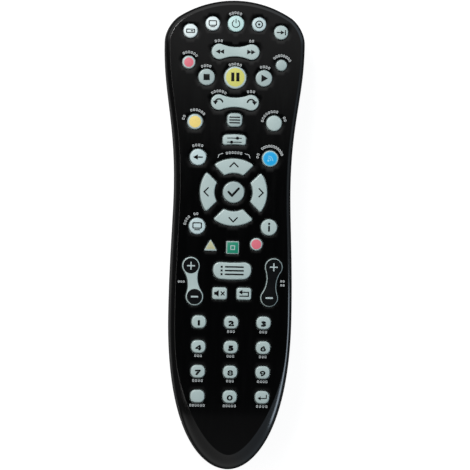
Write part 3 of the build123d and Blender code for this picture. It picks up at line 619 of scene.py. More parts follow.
@dataclass(frozen=True)
class Moulding:
    """Moulded plastic or rubber: mottled colour, uneven gloss with faint wipes, and a moulded grain."""

    name: str
    colour: tuple
    roughness: float
    spread: float
    mottle: float
    coat: float
    grain: float
    depth: float
    blotch: float = 9.0
    wipe: float = 2.2
    wipe_band: tuple = (0.35, 0.75)
    fine_gloss: float = 0.3
    blotch_height: float = 0.5
    coat_roughness: float = 0.06

    def make(self) -> bpy.types.Material:
        """Colour varies with soft blotches, gloss with wipes along the body, and height with fine grain.

        Returns:
            The material.
        """
        graph = Graph(bpy.data.materials.new(self.name))
        blotch = graph.noise(self.blotch, 3.0)
        wipes = graph.noise(self.wipe, 2.0, ALONG_BODY).smooth(*self.wipe_band)
        fine = graph.noise(self.grain, 2.0)
        tone = graph.mixed(blotch, shaded(self.colour, 1 - self.mottle), shaded(self.colour, 1 + self.mottle))
        gloss = self.roughness + self.spread * (wipes - 0.5) + self.fine_gloss * self.spread * fine
        return graph.finish(
            Base_Color=tone, Roughness=gloss, Coat_Weight=self.coat, Coat_Roughness=self.coat_roughness,
            Normal=graph.bump(fine + self.blotch_height * blotch, self.depth),
        )


@dataclass(frozen=True)
class Print:
    """Screen-printed ink: flat colour, thin in specks, a little rougher than what it lies on."""

    name: str
    colour: tuple
    roughness: float = 0.36
    relief: float = 0.006
    speck: float = 0.5
    speck_band: tuple = (0.25, 0.5)
    speck_tone: float = 0.82
    weave: float = 0.16
    spread: float = 0.12

    def make(self) -> bpy.types.Material:
        """Colour falls where the ink is thin, and the surface follows the weave of the screen.

        Returns:
            The material.
        """
        graph = Graph(bpy.data.materials.new(self.name))
        thin = graph.noise(self.speck, 3.0).smooth(*self.speck_band)
        weave = graph.noise(self.weave, 1.0)
        tone = graph.mixed(thin, shaded(self.colour, self.speck_tone), self.colour)
        gloss = self.roughness + self.spread * (weave - 0.5)
        return graph.finish(Base_Color=tone, Roughness=gloss, Normal=graph.bump(weave, self.relief))


@dataclass(frozen=True)
class Plating:
    """Plated or tinned metal with drawn streaks and dull patches."""

    name: str
    colour: tuple
    roughness: float
    streak: float = 0.12
    patch: float = 2.4
    patch_band: tuple = (0.4, 0.7)
    patch_tone: float = 0.82
    streak_gloss: float = 0.1
    patch_gloss: float = 0.12
    relief: float = 0.003

    def make(self) -> bpy.types.Material:
        """Streaks run along the body's length, and patches take the shine down.

        Returns:
            The material.
        """
        graph = Graph(bpy.data.materials.new(self.name))
        streaks = graph.noise(self.streak, 2.0, ALONG_STREAK)
        patches = graph.noise(self.patch, 3.0).smooth(*self.patch_band)
        tone = graph.mixed(patches, self.colour, shaded(self.colour, self.patch_tone))
        gloss = self.roughness + self.streak_gloss * streaks + self.patch_gloss * patches
        return graph.finish(
            Base_Color=tone, Roughness=gloss, Metallic=1.0, Normal=graph.bump(streaks, self.relief),
        )


@dataclass(frozen=True)
class SolderMask:
    """Green lacquer over copper tracks that run across the board in a square pattern."""

    name: str = "board_mask"
    mask: tuple = (0.02, 0.11, 0.045)
    track: tuple = (0.05, 0.2, 0.07)
    pitch: float = 1.6
    track_edge: tuple = (0.3, 0.36)
    patch: float = 7.0
    patch_band: tuple = (0.49, 0.51)
    speck: float = 0.8
    speck_height: float = 0.3
    roughness: float = 0.32
    track_gloss: float = 0.05
    relief: float = 0.03

    def lines(self, graph: Graph, axis: str) -> Number:
        """Tracks one pitch apart: 1 where the place along an axis, in pitches, is near a whole number."""
        return ((graph.place(axis) / self.pitch).fraction() - 0.5).absolute().smooth(*self.track_edge)

    def make(self) -> bpy.types.Material:
        """Tracks run along Y in some fields of the board and along X in the others, as noise chooses.

        Returns:
            The material.
        """
        graph = Graph(bpy.data.materials.new(self.name))
        choice = graph.noise(self.patch, 0.0).smooth(*self.patch_band)
        tracks = self.lines(graph, "X") * choice + self.lines(graph, "Y") * (1 - choice)
        tone = graph.mixed(tracks, self.mask, self.track)
        height = tracks + self.speck_height * graph.noise(self.speck)
        gloss = self.roughness + self.track_gloss * tracks
        return graph.finish(Base_Color=tone, Roughness=gloss, Normal=graph.bump(height, self.relief))


@dataclass(frozen=True)
class CellSleeve:
    """A cell's shrink sleeve: a dark body, a lighter band at one end and bare metal past both."""

    name: str
    band: tuple
    sleeve: tuple
    dark: tuple = (0.02, 0.022, 0.026)
    light: tuple = (0.42, 0.3, 0.14)
    metal: tuple = (0.7, 0.7, 0.68)
    band_blur: float = 0.1
    sleeve_blur: float = 0.05
    wrinkle: float = 1.4
    roughness: float = 0.26
    wrinkle_gloss: float = 0.1
    band_metal: float = 0.6
    relief: float = 0.01

    @staticmethod
    def between(along: Number, ends: tuple, blur: float) -> Number:
        """1 between two places, and 0 past them, with soft steps."""
        first, last = (along.smooth(end - blur, end + blur) for end in ends)
        return first * (1 - last)

    def make(self) -> bpy.types.Material:
        """Bands follow the place along the cell, which lies along Y.

        Returns:
            The material.
        """
        graph = Graph(bpy.data.materials.new(self.name))
        along = graph.place("Y")
        band = self.between(along, self.band, self.band_blur)
        sleeve = self.between(along, self.sleeve, self.sleeve_blur)
        wrinkle = graph.noise(self.wrinkle, 2.0, ALONG_CELL)
        tone = graph.mixed(sleeve, self.metal, graph.mixed(band, self.dark, self.light))
        gloss = self.roughness + self.wrinkle_gloss * wrinkle
        metallic = 1 - sleeve * (1 - self.band_metal * band)
        return graph.finish(
            Base_Color=tone, Roughness=gloss, Metallic=metallic, Normal=graph.bump(wrinkle, self.relief),
        )


def key_plastic(name: str, colour: tuple) -> Moulding:
    """The satin plastic of the keys in a given colour; its lighter and darker copies in Stock are painted
    light and painted shade.
    """
    return Moulding(name, colour, roughness=0.36, spread=0.07, mottle=0.05, coat=0.15, grain=0.2, depth=0.005)


class Stock(Enum):
    """The finishes that the remote's pieces are made in."""

    SHELL = Moulding("shell_black", (0.0008, 0.0009, 0.001), roughness=0.12, spread=0.05, mottle=0.12,
                     coat=0.2, grain=0.9, depth=0.0012)
    LOWER = Moulding("lower_black", (0.016, 0.0165, 0.018), roughness=0.47, spread=0.1, mottle=0.1,
                     coat=0.0, grain=0.22, depth=0.02)
    COVER = Moulding("cover_black", (0.0165, 0.017, 0.0185), roughness=0.49, spread=0.1, mottle=0.1,
                     coat=0.0, grain=0.24, depth=0.022)
    WINDOW = Moulding("window_red_black", (0.012, 0.0025, 0.003), roughness=0.08, spread=0.02, mottle=0.1,
                      coat=0.8, grain=1.2, depth=0.0006)
    SHEET = Moulding("sheet_grey", (0.12, 0.13, 0.13), roughness=0.62, spread=0.08, mottle=0.1,
                     coat=0.0, grain=0.3, depth=0.012)
    CHIP = Moulding("chip_black", (0.02, 0.02, 0.022), roughness=0.55, spread=0.06, mottle=0.08,
                    coat=0.0, grain=0.12, depth=0.008)
    SLEEVE = Moulding("capacitor_blue", (0.03, 0.045, 0.12), roughness=0.34, spread=0.08, mottle=0.06,
                      coat=0.0, grain=0.8, depth=0.004)
    EMITTER = Moulding("emitter_clear", (0.42, 0.47, 0.6), roughness=0.06, spread=0.03, mottle=0.05,
                       coat=0.5, grain=0.9, depth=0.001)
    KEY = key_plastic("key_satin_pale", (0.345, 0.425, 0.415))
    # Painted light and shade: the next three are lighter copies of the key plastic that paint the light
    # falling on some keys, the mint one also greener, and the last is a darker copy that paints shade
    BRIGHT_KEY = key_plastic("key_satin_bright", (0.58, 0.66, 0.66))
    MINT_KEY = key_plastic("key_satin_mint", (0.42, 0.59, 0.575))
    LIGHT_KEY = key_plastic("key_satin_light", (0.42, 0.52, 0.53))
    DIM_KEY = key_plastic("key_satin_dim", (0.295, 0.365, 0.36))
    CAN = Plating("resonator_tin", (0.62, 0.62, 0.6), 0.28)
    SPRING = Plating("spring_nickel", (0.68, 0.68, 0.66), 0.2)
    PLATE = Plating("plate_nickel", (0.7, 0.69, 0.66), 0.24)
    SCREW = Plating("screw_black_zinc", (0.12, 0.12, 0.125), 0.32)
    BLACK = Print("ink_black", (0.004, 0.0045, 0.005), 0.16, 0.0015)
    WHITE = Print("ink_white", (0.38, 0.4, 0.4), 0.5)
    LIGHT = Print("ink_light", (0.36, 0.43, 0.43), 0.45)
    YELLOW = Print("ink_yellow", (0.5, 0.49, 0.12))
    ORANGE = Print("ink_orange", (0.68, 0.53, 0.16))
    BLUE = Print("ink_blue", (0.01, 0.31, 0.62), 0.3)
    SKY = Print("ink_sky", (0.06, 0.38, 0.6))
    PALE_SKY = Print("ink_pale_sky", (0.2, 0.5, 0.66))
    RED = Print("ink_red", (0.57, 0.13, 0.17))
    GREEN = Print("ink_green", (0.006, 0.19, 0.115))
    CREAM = Print("ink_cream", (0.41, 0.41, 0.25))

    def material(self) -> bpy.types.Material:
        """The material, made once."""
        return bpy.data.materials.get(self.value.name) or self.value.make()


# The body's form


@dataclass
class BodyForm:
    """The body's outline and deck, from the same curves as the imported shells."""

    spans: tuple = (
        ((0.0, -1.0), (0.354, -1.0), (0.870, -0.846), (0.870, -0.345)),
        ((0.870, -0.345), (0.870, -0.091), (0.824, 0.058), (0.824, 0.200)),
        ((0.824, 0.200), (0.824, 0.493), (1.0, 0.594), (1.0, 0.818)),
    )
    shoulder: tuple = (0.801, 0.929)
    corner_start: float = 0.046
    corner_end: float = 0.032
    head_drop: float = 9.8
    crest_share: float = -0.27
    deck_wall: float = 1.8
    side_wall: float = 2.0
    parting: float = 12.5
    fold_y: float = -84.0
    fold_slope: float = 0.03
    fold_softness: float = 0.8
    spacing: float = 1.05

    def __post_init__(self) -> None:
        """Takes the body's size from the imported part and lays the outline's points."""
        low, high = packed_box("top_case")
        self.half_width = (high[0] - low[0]) / 2
        self.half_length = (high[1] - low[1]) / 2
        self.crest_z = high[2]
        self.crest_y = self.half_length * self.crest_share
        run = self.half_length - self.crest_y
        self.deck_radius = (run**2 + self.head_drop**2) / (2 * self.head_drop)
        self.points, self.normals = self.outline()

    def deck(self, y: np.ndarray) -> np.ndarray:
        """Height of the deck: an arch of one radius along Y, which folds down a little past the number keys.

        The fold is slope * (u + sqrt(u^2 + softness^2)) / 2, with u the distance past the fold's line.

        Args:
            y: places along the body.

        Returns:
            The deck's height at each.
        """
        arch = self.deck_radius - np.sqrt(self.deck_radius**2 - (y - self.crest_y) ** 2)
        past = self.fold_y - y
        fold = self.fold_slope * (past + np.sqrt(past**2 + self.fold_softness**2)) / 2
        return self.crest_z - arch - fold

    def outline(self) -> tuple[np.ndarray, np.ndarray]:
        """The body's edge from above, anticlockwise from the tail, and its outward normals.

        Returns:
            The points, and a normal for each.
        """
        size = np.array([self.half_width, self.half_length])
        widest = np.array(self.spans[-1][-1]) * size
        shoulder = np.array(self.shoulder) * size
        sagitta = self.half_length - shoulder[1]
        radius = (shoulder[0] ** 2 + sagitta**2) / (2 * sagitta)
        handle = self.half_length * self.corner_end / radius
        before = shoulder + handle * np.array([radius - sagitta, -shoulder[0]])
        after = widest + np.array([0.0, self.half_length * self.corner_start])
        spans = [np.array(span) * size for span in self.spans] + [np.array([widest, after, before, shoulder])]
        pieces = [bezier(span, self.spacing) for span in spans]
        angles = self.head_angles(radius, shoulder[0])
        normals = np.stack([np.sin(angles), np.cos(angles)], axis=1)
        head = np.array([0.0, self.half_length - radius]) + radius * normals
        right = np.vstack([piece[0][:-1] for piece in pieces])
        right_normals = np.vstack([piece[1][:-1] for piece in pieces])
        mirror = np.array([-1.0, 1.0])
        points = np.vstack([right, head, right[1:][::-1] * mirror])
        return points, np.vstack([right_normals, normals, right_normals[1:][::-1] * mirror])

    def head_angles(self, radius: float, reach: float) -> np.ndarray:
        """Angles from +Y of the head arc's points, closer together round the window's corners.

        Args:
            radius: radius of the head's arc.
            reach: half its width.

        Returns:
            The angles from right to left.
        """
        x = np.linspace(-reach, reach, int(2 * reach / self.spacing))
        notch = WindowCut()
        x = x[np.abs(np.abs(x) - notch.half_width) > notch.corner * notch.cleared_share]
        angles = np.linspace(0, np.pi / 2, notch.corner_points)
        corner = notch.half_width - notch.corner * (1 - np.sin(angles))
        foot = notch.half_width + notch.draft
        x = np.concatenate([x, corner, -corner, [foot, -foot]])
        return np.arcsin(np.sort(x)[::-1] / radius)

    def loop(self, inset: float | np.ndarray) -> np.ndarray:
        """The outline drawn in along its normals by an inset, or by an inset for each point."""
        return self.points - self.normals * np.broadcast_to(inset, len(self.points))[:, None]


@dataclass
class WindowCut:
    """The infrared window's notch in the upper shell's edge at the head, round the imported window."""

    flange: float = 1.0
    gap: float = 0.15
    corner: float = 0.5
    draft: float = 0.03
    cleared_share: float = 1.5
    corner_points: int = 7

    def __post_init__(self) -> None:
        """Takes the notch's width and top from the window, whose flange lies behind the shell."""
        high = packed_box("ir_window")[1]
        self.half_width = high[0] - self.flange + self.gap
        self.top = high[2] - self.flange + self.gap

    def height(self, points: np.ndarray, parting: float) -> np.ndarray:
        """Lowest point of the shell's edge: the seam, or the notch's top with its corner arcs.

        Args:
            points: the outline's points.
            parting: height of the seam.

        Returns:
            The height at each point.
        """
        x = np.abs(points[:, 0])
        past = np.clip(x - (self.half_width - self.corner), 0, self.corner)
        top = self.top - (self.corner - np.sqrt(self.corner**2 - past**2))
        return np.where((points[:, 1] > 0) & (x <= self.half_width + self.draft / 2), top, parting)


def bezier(span: np.ndarray, spacing: float) -> tuple[np.ndarray, np.ndarray]:
    """A cubic curve at even lengths, and its normals to the right.

    The curve is (1 - t)^3 a + 3 (1 - t)^2 t b + 3 (1 - t) t^2 c + t^3 d.

    Args:
        span: the curve's four control points.
        spacing: distance between the points given.

    Returns:
        The points and their normals.
    """
    share = np.linspace(0, 1, FINE_STEPS)

    def weigh(t: np.ndarray) -> np.ndarray:
        """The curve at each t."""
        weights = np.stack([(1 - t) ** 3, 3 * (1 - t) ** 2 * t, 3 * (1 - t) * t**2, t**3], axis=1)
        return weights @ span

    walked = np.concatenate([[0], np.cumsum(np.linalg.norm(np.diff(weigh(share), axis=0), axis=1))])
    count = max(3, round(walked[-1] / spacing))
    t = np.interp(np.linspace(0, walked[-1], count + 1), walked, share)
    slopes = np.stack([(1 - t) ** 2, 2 * (1 - t) * t, t**2], axis=1) @ np.diff(span, axis=0)
    heading = unit(slopes)
    return weigh(t), np.stack([heading[:, 1], -heading[:, 0]], axis=1)


# Keys


@dataclass
class KeyForm:
    """One key's outline about its own middle, its place, and the form of its top."""

    name: str
    loop: np.ndarray
    place: np.ndarray
    turn: float = 0.0
    edge: float = 0.6
    draft: float = 0.15
    dome: float = 0.22
    half_pitch: float = 0.0
    saddle: float = 0.3

    def half_size(self) -> np.ndarray:
        """Half the key's width and depth, along its own axes."""
        return (self.loop.max(axis=0) - self.loop.min(axis=0)) / 2

    def centre(self) -> np.ndarray:
        """The middle of its outline's box, about its place."""
        return (self.loop.max(axis=0) + self.loop.min(axis=0)) / 2

    def area_centre(self) -> np.ndarray:
        """The outline's centre of area: the sum of each side's triangle with the origin.

        Returns:
            The centre.
        """
        after = np.roll(self.loop, -1, axis=0)
        cross = self.loop[:, 0] * after[:, 1] - self.loop[:, 1] * after[:, 0]
        return ((self.loop + after) * cross[:, None]).sum(axis=0) / (3 * cross.sum())

    def stand(self, local: np.ndarray) -> np.ndarray:
        """Points of the key's own plan at their place on the deck."""
        return turned(local, self.turn) + self.place

    def drop(self, local: np.ndarray) -> np.ndarray:
        """How far the top lies under its highest level: a shallow dome, or a saddle between two pads.

        Args:
            local: points of the key's own plan.

        Returns:
            The fall at each point.
        """
        share = (local - self.centre()) / self.half_size()
        if self.half_pitch:
            middle = np.clip(1 - (local[:, 0] / self.half_pitch) ** 2, 0, 1)
            tip = np.clip(np.abs(local[:, 0]) / self.half_pitch - 1, 0, 1)
            return self.saddle * middle**2 + self.dome * (share[:, 1] ** 2 + tip**2)
        return self.dome * (share**2).sum(axis=1)


@dataclass
class KeySet:
    """Sizes that all keys share, and how a key's body is built from its outline."""

    body: BodyForm
    proud: float = 1.8
    clearance: float = 0.3
    flange_width: float = 0.6
    flange_gap: float = 0.3
    flange_thickness: float = 0.8
    plunger_radius: float = 1.7
    plunger_chamfer: float = 0.2
    plunger_root: float = 0.3
    plunger_sides: int = 48
    swing_gap: float = 0.85
    ear_start: float = 2.0
    ear_ramp: float = 0.4
    ear_least: float = 0.02
    columns: int = 120
    top_shares: tuple = (0.08, 0.2, 0.34, 0.48, 0.62, 0.75, 0.86, 0.94, 1.0)
    rim_angles: tuple = (15, 30, 45, 60, 75, 90)
    wall_shares: tuple = (0.3, 0.65, 1.0)

    def top(self, form: KeyForm, local: np.ndarray) -> np.ndarray:
        """Height of a key's top at points of its own plan."""
        return self.body.deck(form.stand(local)[:, 1]) + self.proud - form.drop(local)

    def build(self, form: KeyForm) -> Surface:
        """One unbroken skin from the middle of a key's top to its plunger's tip.

        It runs over the rounded rim, down the side, round the flange and in to the plunger. A rocker has its
        flange only at its ends, and two plungers of their own.

        Args:
            form: the key's outline, place and form.

        Returns:
            The key's surface.
        """
        middle = form.area_centre()
        hub = form.stand(middle[None])
        pole = lifted(hub, self.top(form, middle[None]))[0]
        tip = packed_box(form.name)[0, 2]
        gap = self.body.deck_wall + self.flange_gap
        reach = np.full(len(form.loop), self.flange_width)
        if form.half_pitch:
            gap += self.swing_gap
            reach = self.ear_reach(form)
        under_deck = self.body.deck(form.stand(form.loop)[:, 1]) - gap
        floor = under_deck.min() - self.flange_thickness
        rows = self.cap_rows(form, middle)
        start = rows[-1][:, 2]
        for share in self.wall_shares:
            wall = form.stand(grown(form.loop, -form.draft * (1 - share)))
            rows.append(lifted(wall, start + (under_deck - start) * share))
        flange = form.stand(grown(form.loop, reach))
        rows += [lifted(flange, under_deck), lifted(flange, floor)]
        surface = Surface()
        if form.half_pitch:
            surface.add_turned(np.array(rows), pole, np.array([*hub[0], floor]))
            self.add_plungers(surface, form, floor, tip)
            return surface
        spokes = unit(form.loop - middle)
        for radius, height in self.stem(floor, tip):
            rows.append(lifted(form.stand(middle + spokes * radius), height))
        surface.add_turned(np.array(rows), pole, np.array([*hub[0], tip]))
        return surface

    def cap_rows(self, form: KeyForm, middle: np.ndarray) -> list[np.ndarray]:
        """Rings from the middle of a key's top outwards, then a quarter round down to its side.

        Args:
            form: the key's form.
            middle: the outline's centre of area.

        Returns:
            The rings, innermost first.
        """
        face = grown(form.loop, -form.edge - form.draft)
        rows = []
        for share in self.top_shares:
            local = middle + (face - middle) * share
            rows.append(lifted(form.stand(local), self.top(form, local)))
        rim = rows[-1][:, 2]
        for angle in np.radians(self.rim_angles):
            local = grown(form.loop, -form.draft - form.edge * (1 - math.sin(angle)))
            rows.append(lifted(form.stand(local), rim - form.edge * (1 - math.cos(angle))))
        return rows

    def ear_reach(self, form: KeyForm) -> np.ndarray:
        """How far a rocker's flange stands out at each outline point: fully only past its lobes' middles."""
        ends = np.abs(form.loop[:, 0]) - form.half_pitch - self.ear_start
        return self.ear_least + (self.flange_width - self.ear_least) * np.clip(ends / self.ear_ramp, 0, 1)

    def add_plungers(self, surface: Surface, form: KeyForm, floor: float, tip: float) -> None:
        """Adds a rocker's two plungers, each down to its own level over the board.

        Args:
            surface: the rocker's surface.
            form: the rocker's form.
            floor: level of the flange's underside.
            tip: level of the lower of both tips.
        """
        feet = form.stand(np.array([[-form.half_pitch, 0.0], [form.half_pitch, 0.0]]))
        root = floor + self.plunger_root
        ring = disc(1.0, self.plunger_sides)
        for foot in feet:
            end = tip + self.tip_rise() * (feet[:, 1].max() - foot[1])
            profile = [(self.plunger_radius / 2, root), *self.stem(root, end)]
            rows = [lifted(foot + ring * radius, height) for radius, height in profile]
            surface.add_turned(np.array(rows), np.array([*foot, root]), np.array([*foot, end]))

    def tip_rise(self) -> float:
        """How much higher a plunger ends for each step towards the tail, as the board under it rises."""
        tail, head = packed_box("digit_0_key"), packed_box("power_key")
        return (tail[0, 2] - head[0, 2]) / (head[:, 1].mean() - tail[:, 1].mean())

    def stem(self, high: float, low: float) -> list[tuple[float, float]]:
        """Radius and height of a plunger's rows, from its root to its chamfered tip."""
        radius, cut = self.plunger_radius, self.plunger_chamfer
        return [(radius, high), (radius, low + cut), (radius - cut, low), (radius / 2, low)]


DISC_KEYS = (
    "power_key", "device_key_1", "device_key_2", "device_key_3", "device_key_4", "record_key",
    "source_key", "stop_key", "pause_key", "play_key", "demand_key", "library_key", "back_key",
    "blue_key", "ok_key", "exit_key", "info_key", "round_key",
)
NUMBER_KEYS = (
    "digit_1_key", "digit_2_key", "digit_3_key", "digit_4_key", "digit_5_key", "digit_6_key",
    "digit_7_key", "digit_8_key", "digit_9_key", "clear_key", "digit_0_key", "enter_key",
)
BOX_CORNERS = {"menu_key": 2.4, "mute_key": 1.3, "last_key": 1.3, "square_key": 0.5}
ARROW_TURNS = {"arrow_up_key": 0, "arrow_left_key": 90, "arrow_down_key": 180, "arrow_right_key": 270}

# Each rocker's pitch, lobe radius and waist, and how far it is turned
FLAT_ROCKER = (15.1, 3.8, 4.7)
SIDE_ROCKER = (14.6, 4.25, 5.0)
ROCKERS = {
    "search_rocker": (FLAT_ROCKER, 0.0),
    "skip_rocker": (FLAT_ROCKER, 0.0),
    "volume_rocker": (SIDE_ROCKER, 97.5),
    "channel_rocker": (SIDE_ROCKER, 82.5),
}


@dataclass(frozen=True)
class Bow:
    """A wide key whose middle stands forward of its ends, or behind them where the bow is below zero."""

    name: str
    width: float
    depth: float
    bow: float
    corner: float
    trim: float = 0.0


BOWED_KEYS = (Bow("setup_key", 11.3, 5.6, 0.5, 1.6, 0.5), Bow("guide_key", 18.2, 8.3, -0.6, 3.7))


@dataclass
class Layout:
    """Every key's form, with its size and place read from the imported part."""

    keys: KeySet
    forms: dict[str, KeyForm] = field(default_factory=dict)
    fine_points: int = 480
    disc_points: int = 240
    disc_draft: float = 0.15
    head_from: float = 60.0
    number_corner: float = 2.6
    number_slim: float = 0.3
    deep_draft: float = 0.22
    box_slim: float = 0.2
    box_edge: float = 0.6
    box_draft: float = 0.2
    edge_per_corner: float = 0.7
    draft_per_corner: float = 0.25
    triangle_width: float = 6.4
    triangle_depth: float = 5.6
    triangle_corner: float = 0.4
    triangle_edge: float = 0.25
    triangle_draft: float = 0.1
    ring_outer: float = 15.9
    ring_inner: float = 8.85
    ring_strip: float = 4.6
    ring_corner: float = 0.9
    rocker_edge: float = 0.5

    def __post_init__(self) -> None:
        """Works out all forms."""
        self.lay_discs()
        self.lay_boxes()
        self.lay_bows()
        self.lay_triangle()
        self.lay_ring()
        self.lay_rockers()

    def lay_discs(self) -> None:
        """Round keys, upright at the head and with a draft elsewhere."""
        for name in DISC_KEYS:
            centre, size = self.read(name)
            draft = 0.0 if centre[1] > self.head_from else self.disc_draft
            self.put(name, disc(size[0] / 2, self.disc_points), centre, draft=draft)

    def lay_boxes(self) -> None:
        """The number keys, and the other box-shaped ones, whose rims are smaller where their corners are."""
        for name in NUMBER_KEYS:
            self.put_box(name, self.number_corner, self.number_slim, draft=self.deep_draft)
        for name, corner in BOX_CORNERS.items():
            edge = min(self.box_edge, self.edge_per_corner * corner)
            draft = min(self.box_draft, self.draft_per_corner * corner)
            self.put_box(name, corner, self.box_slim, edge=edge, draft=draft)

    def lay_bows(self) -> None:
        """Bowed keys: a rounded box whose Y rises by bow * (1 - (x / half the width)^2)."""
        for form in BOWED_KEYS:
            box = bar(form.width, form.depth - form.trim)
            loop = resample(rounded(box, form.corner), self.fine_points)
            loop[:, 1] += form.bow * (1 - (loop[:, 0] / (form.width / 2)) ** 2)
            place = (self.read(form.name)[0][0], self.bowed_middle(form) - form.trim / 2)
            self.put(form.name, loop, place, draft=self.deep_draft)

    def lay_triangle(self) -> None:
        """The triangle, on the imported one's foot."""
        width, depth = self.triangle_width, self.triangle_depth
        corners = [(-width / 2, -depth / 2), (width / 2, -depth / 2), (0, depth / 2)]
        foot = packed_box("triangle_key")[0, 1] + self.keys.flange_width
        place = np.array([self.read("triangle_key")[0][0], foot + depth / 2])
        loop = rounded(corners, self.triangle_corner)
        self.put("triangle_key", loop, place, edge=self.triangle_edge, draft=self.triangle_draft)

    def lay_ring(self) -> None:
        """The four arrow keys round the middle key."""
        pad = self.read("ok_key")[0]
        for name, turn in ARROW_TURNS.items():
            self.put(name, turned(self.sector(), turn), pad)

    def lay_rockers(self) -> None:
        """The four rockers, each about its waist."""
        for name, (sizes, turn) in ROCKERS.items():
            form = {"turn": turn, "half_pitch": sizes[0] / 2, "edge": self.rocker_edge}
            self.put(name, dumbbell(*sizes), self.read(name)[0], **form)

    def bowed_middle(self, form: Bow) -> float:
        """Y of a bowed key's middle, from the side of its box that the bow reaches.

        Args:
            form: the key's sizes.

        Returns:
            The Y of its middle.
        """
        low, high = packed_box(form.name)[:, 1]
        reach = form.depth / 2 + abs(form.bow) + self.keys.flange_width
        return low + reach if form.bow < 0 else high - reach

    def read(self, name: str) -> tuple[np.ndarray, np.ndarray]:
        """A packed key's middle, and its cap's size inside the flange."""
        low, high = packed_box(name)[:, :2]
        return (low + high) / 2, high - low - 2 * self.keys.flange_width

    def put(self, name: str, loop: np.ndarray, place: np.ndarray, **form: float) -> None:
        """Keeps one key's form, with its outline at even steps."""
        self.forms[name] = KeyForm(name, resample(loop, self.keys.columns), np.array(place), **form)

    def put_box(self, name: str, corner: float, slim: float, **form: float) -> None:
        """Keeps a box-shaped key's form, slimmer than its packed cap."""
        centre, size = self.read(name)
        self.put(name, rounded(bar(*(size - slim)), corner), centre, **form)

    def sector(self) -> np.ndarray:
        """A quarter of the ring, cut back along both diagonals, with round corners.

        A corner's arc has its centre on the cut's line moved in by its radius, x + b, at the distance from
        the origin that keeps it tangent to the ring: x = (sqrt(2 d^2 - b^2) - b) / 2.

        Returns:
            The outline, which points along +Y.
        """
        shift = self.ring_strip / math.sqrt(2) + self.ring_corner * math.sqrt(2)
        half = []
        for radius, side in ((self.ring_inner, 1), (self.ring_outer, -1)):
            distance = radius + side * self.ring_corner
            x = (math.sqrt(2 * distance**2 - shift**2) - shift) / 2
            centre = (x, x + shift)
            angle = math.degrees(math.atan2(centre[1], centre[0]))
            toward = angle + 180 if side > 0 else angle
            main = arc(radius, 90, angle, 24)
            turn = arc(self.ring_corner, toward, 315 if side > 0 else -45, 10, centre)
            half.append(np.vstack([main, turn]) if side > 0 else np.vstack([turn[::-1], main[::-1]]))
        right = np.vstack(half)
        return np.vstack([right, (right * (-1, 1))[::-1][1:-1]])


def dumbbell(pitch: float, lobe: float, waist: float) -> np.ndarray:
    """Two round lobes and a waist whose sides are arcs tangent to both.

    The side arc's radius is (w^2 + p^2 - r^2) / (2 (r - w)), with w half the waist, p half the pitch and r
    the lobe's radius, and its centre lies w plus that radius from the middle.

    Args:
        pitch: distance between the lobes' middles.
        lobe: the lobes' radius.
        waist: width at the waist.

    Returns:
        The outline, which lies along X.
    """
    half_pitch, half_waist = pitch / 2, waist / 2
    hollow = (half_waist**2 + half_pitch**2 - lobe**2) / (2 * (lobe - half_waist))
    centre = half_waist + hollow
    touch = math.degrees(math.atan2(centre, -half_pitch))
    lean = math.degrees(math.atan2(half_pitch, centre))
    right = arc(lobe, -touch, touch, 60, (half_pitch, 0))
    upper = arc(hollow, -90 + lean, -90 - lean, 40, (0, centre))
    return np.vstack([right, upper[1:-1], -right, -upper[1:-1]])


# The upper shell


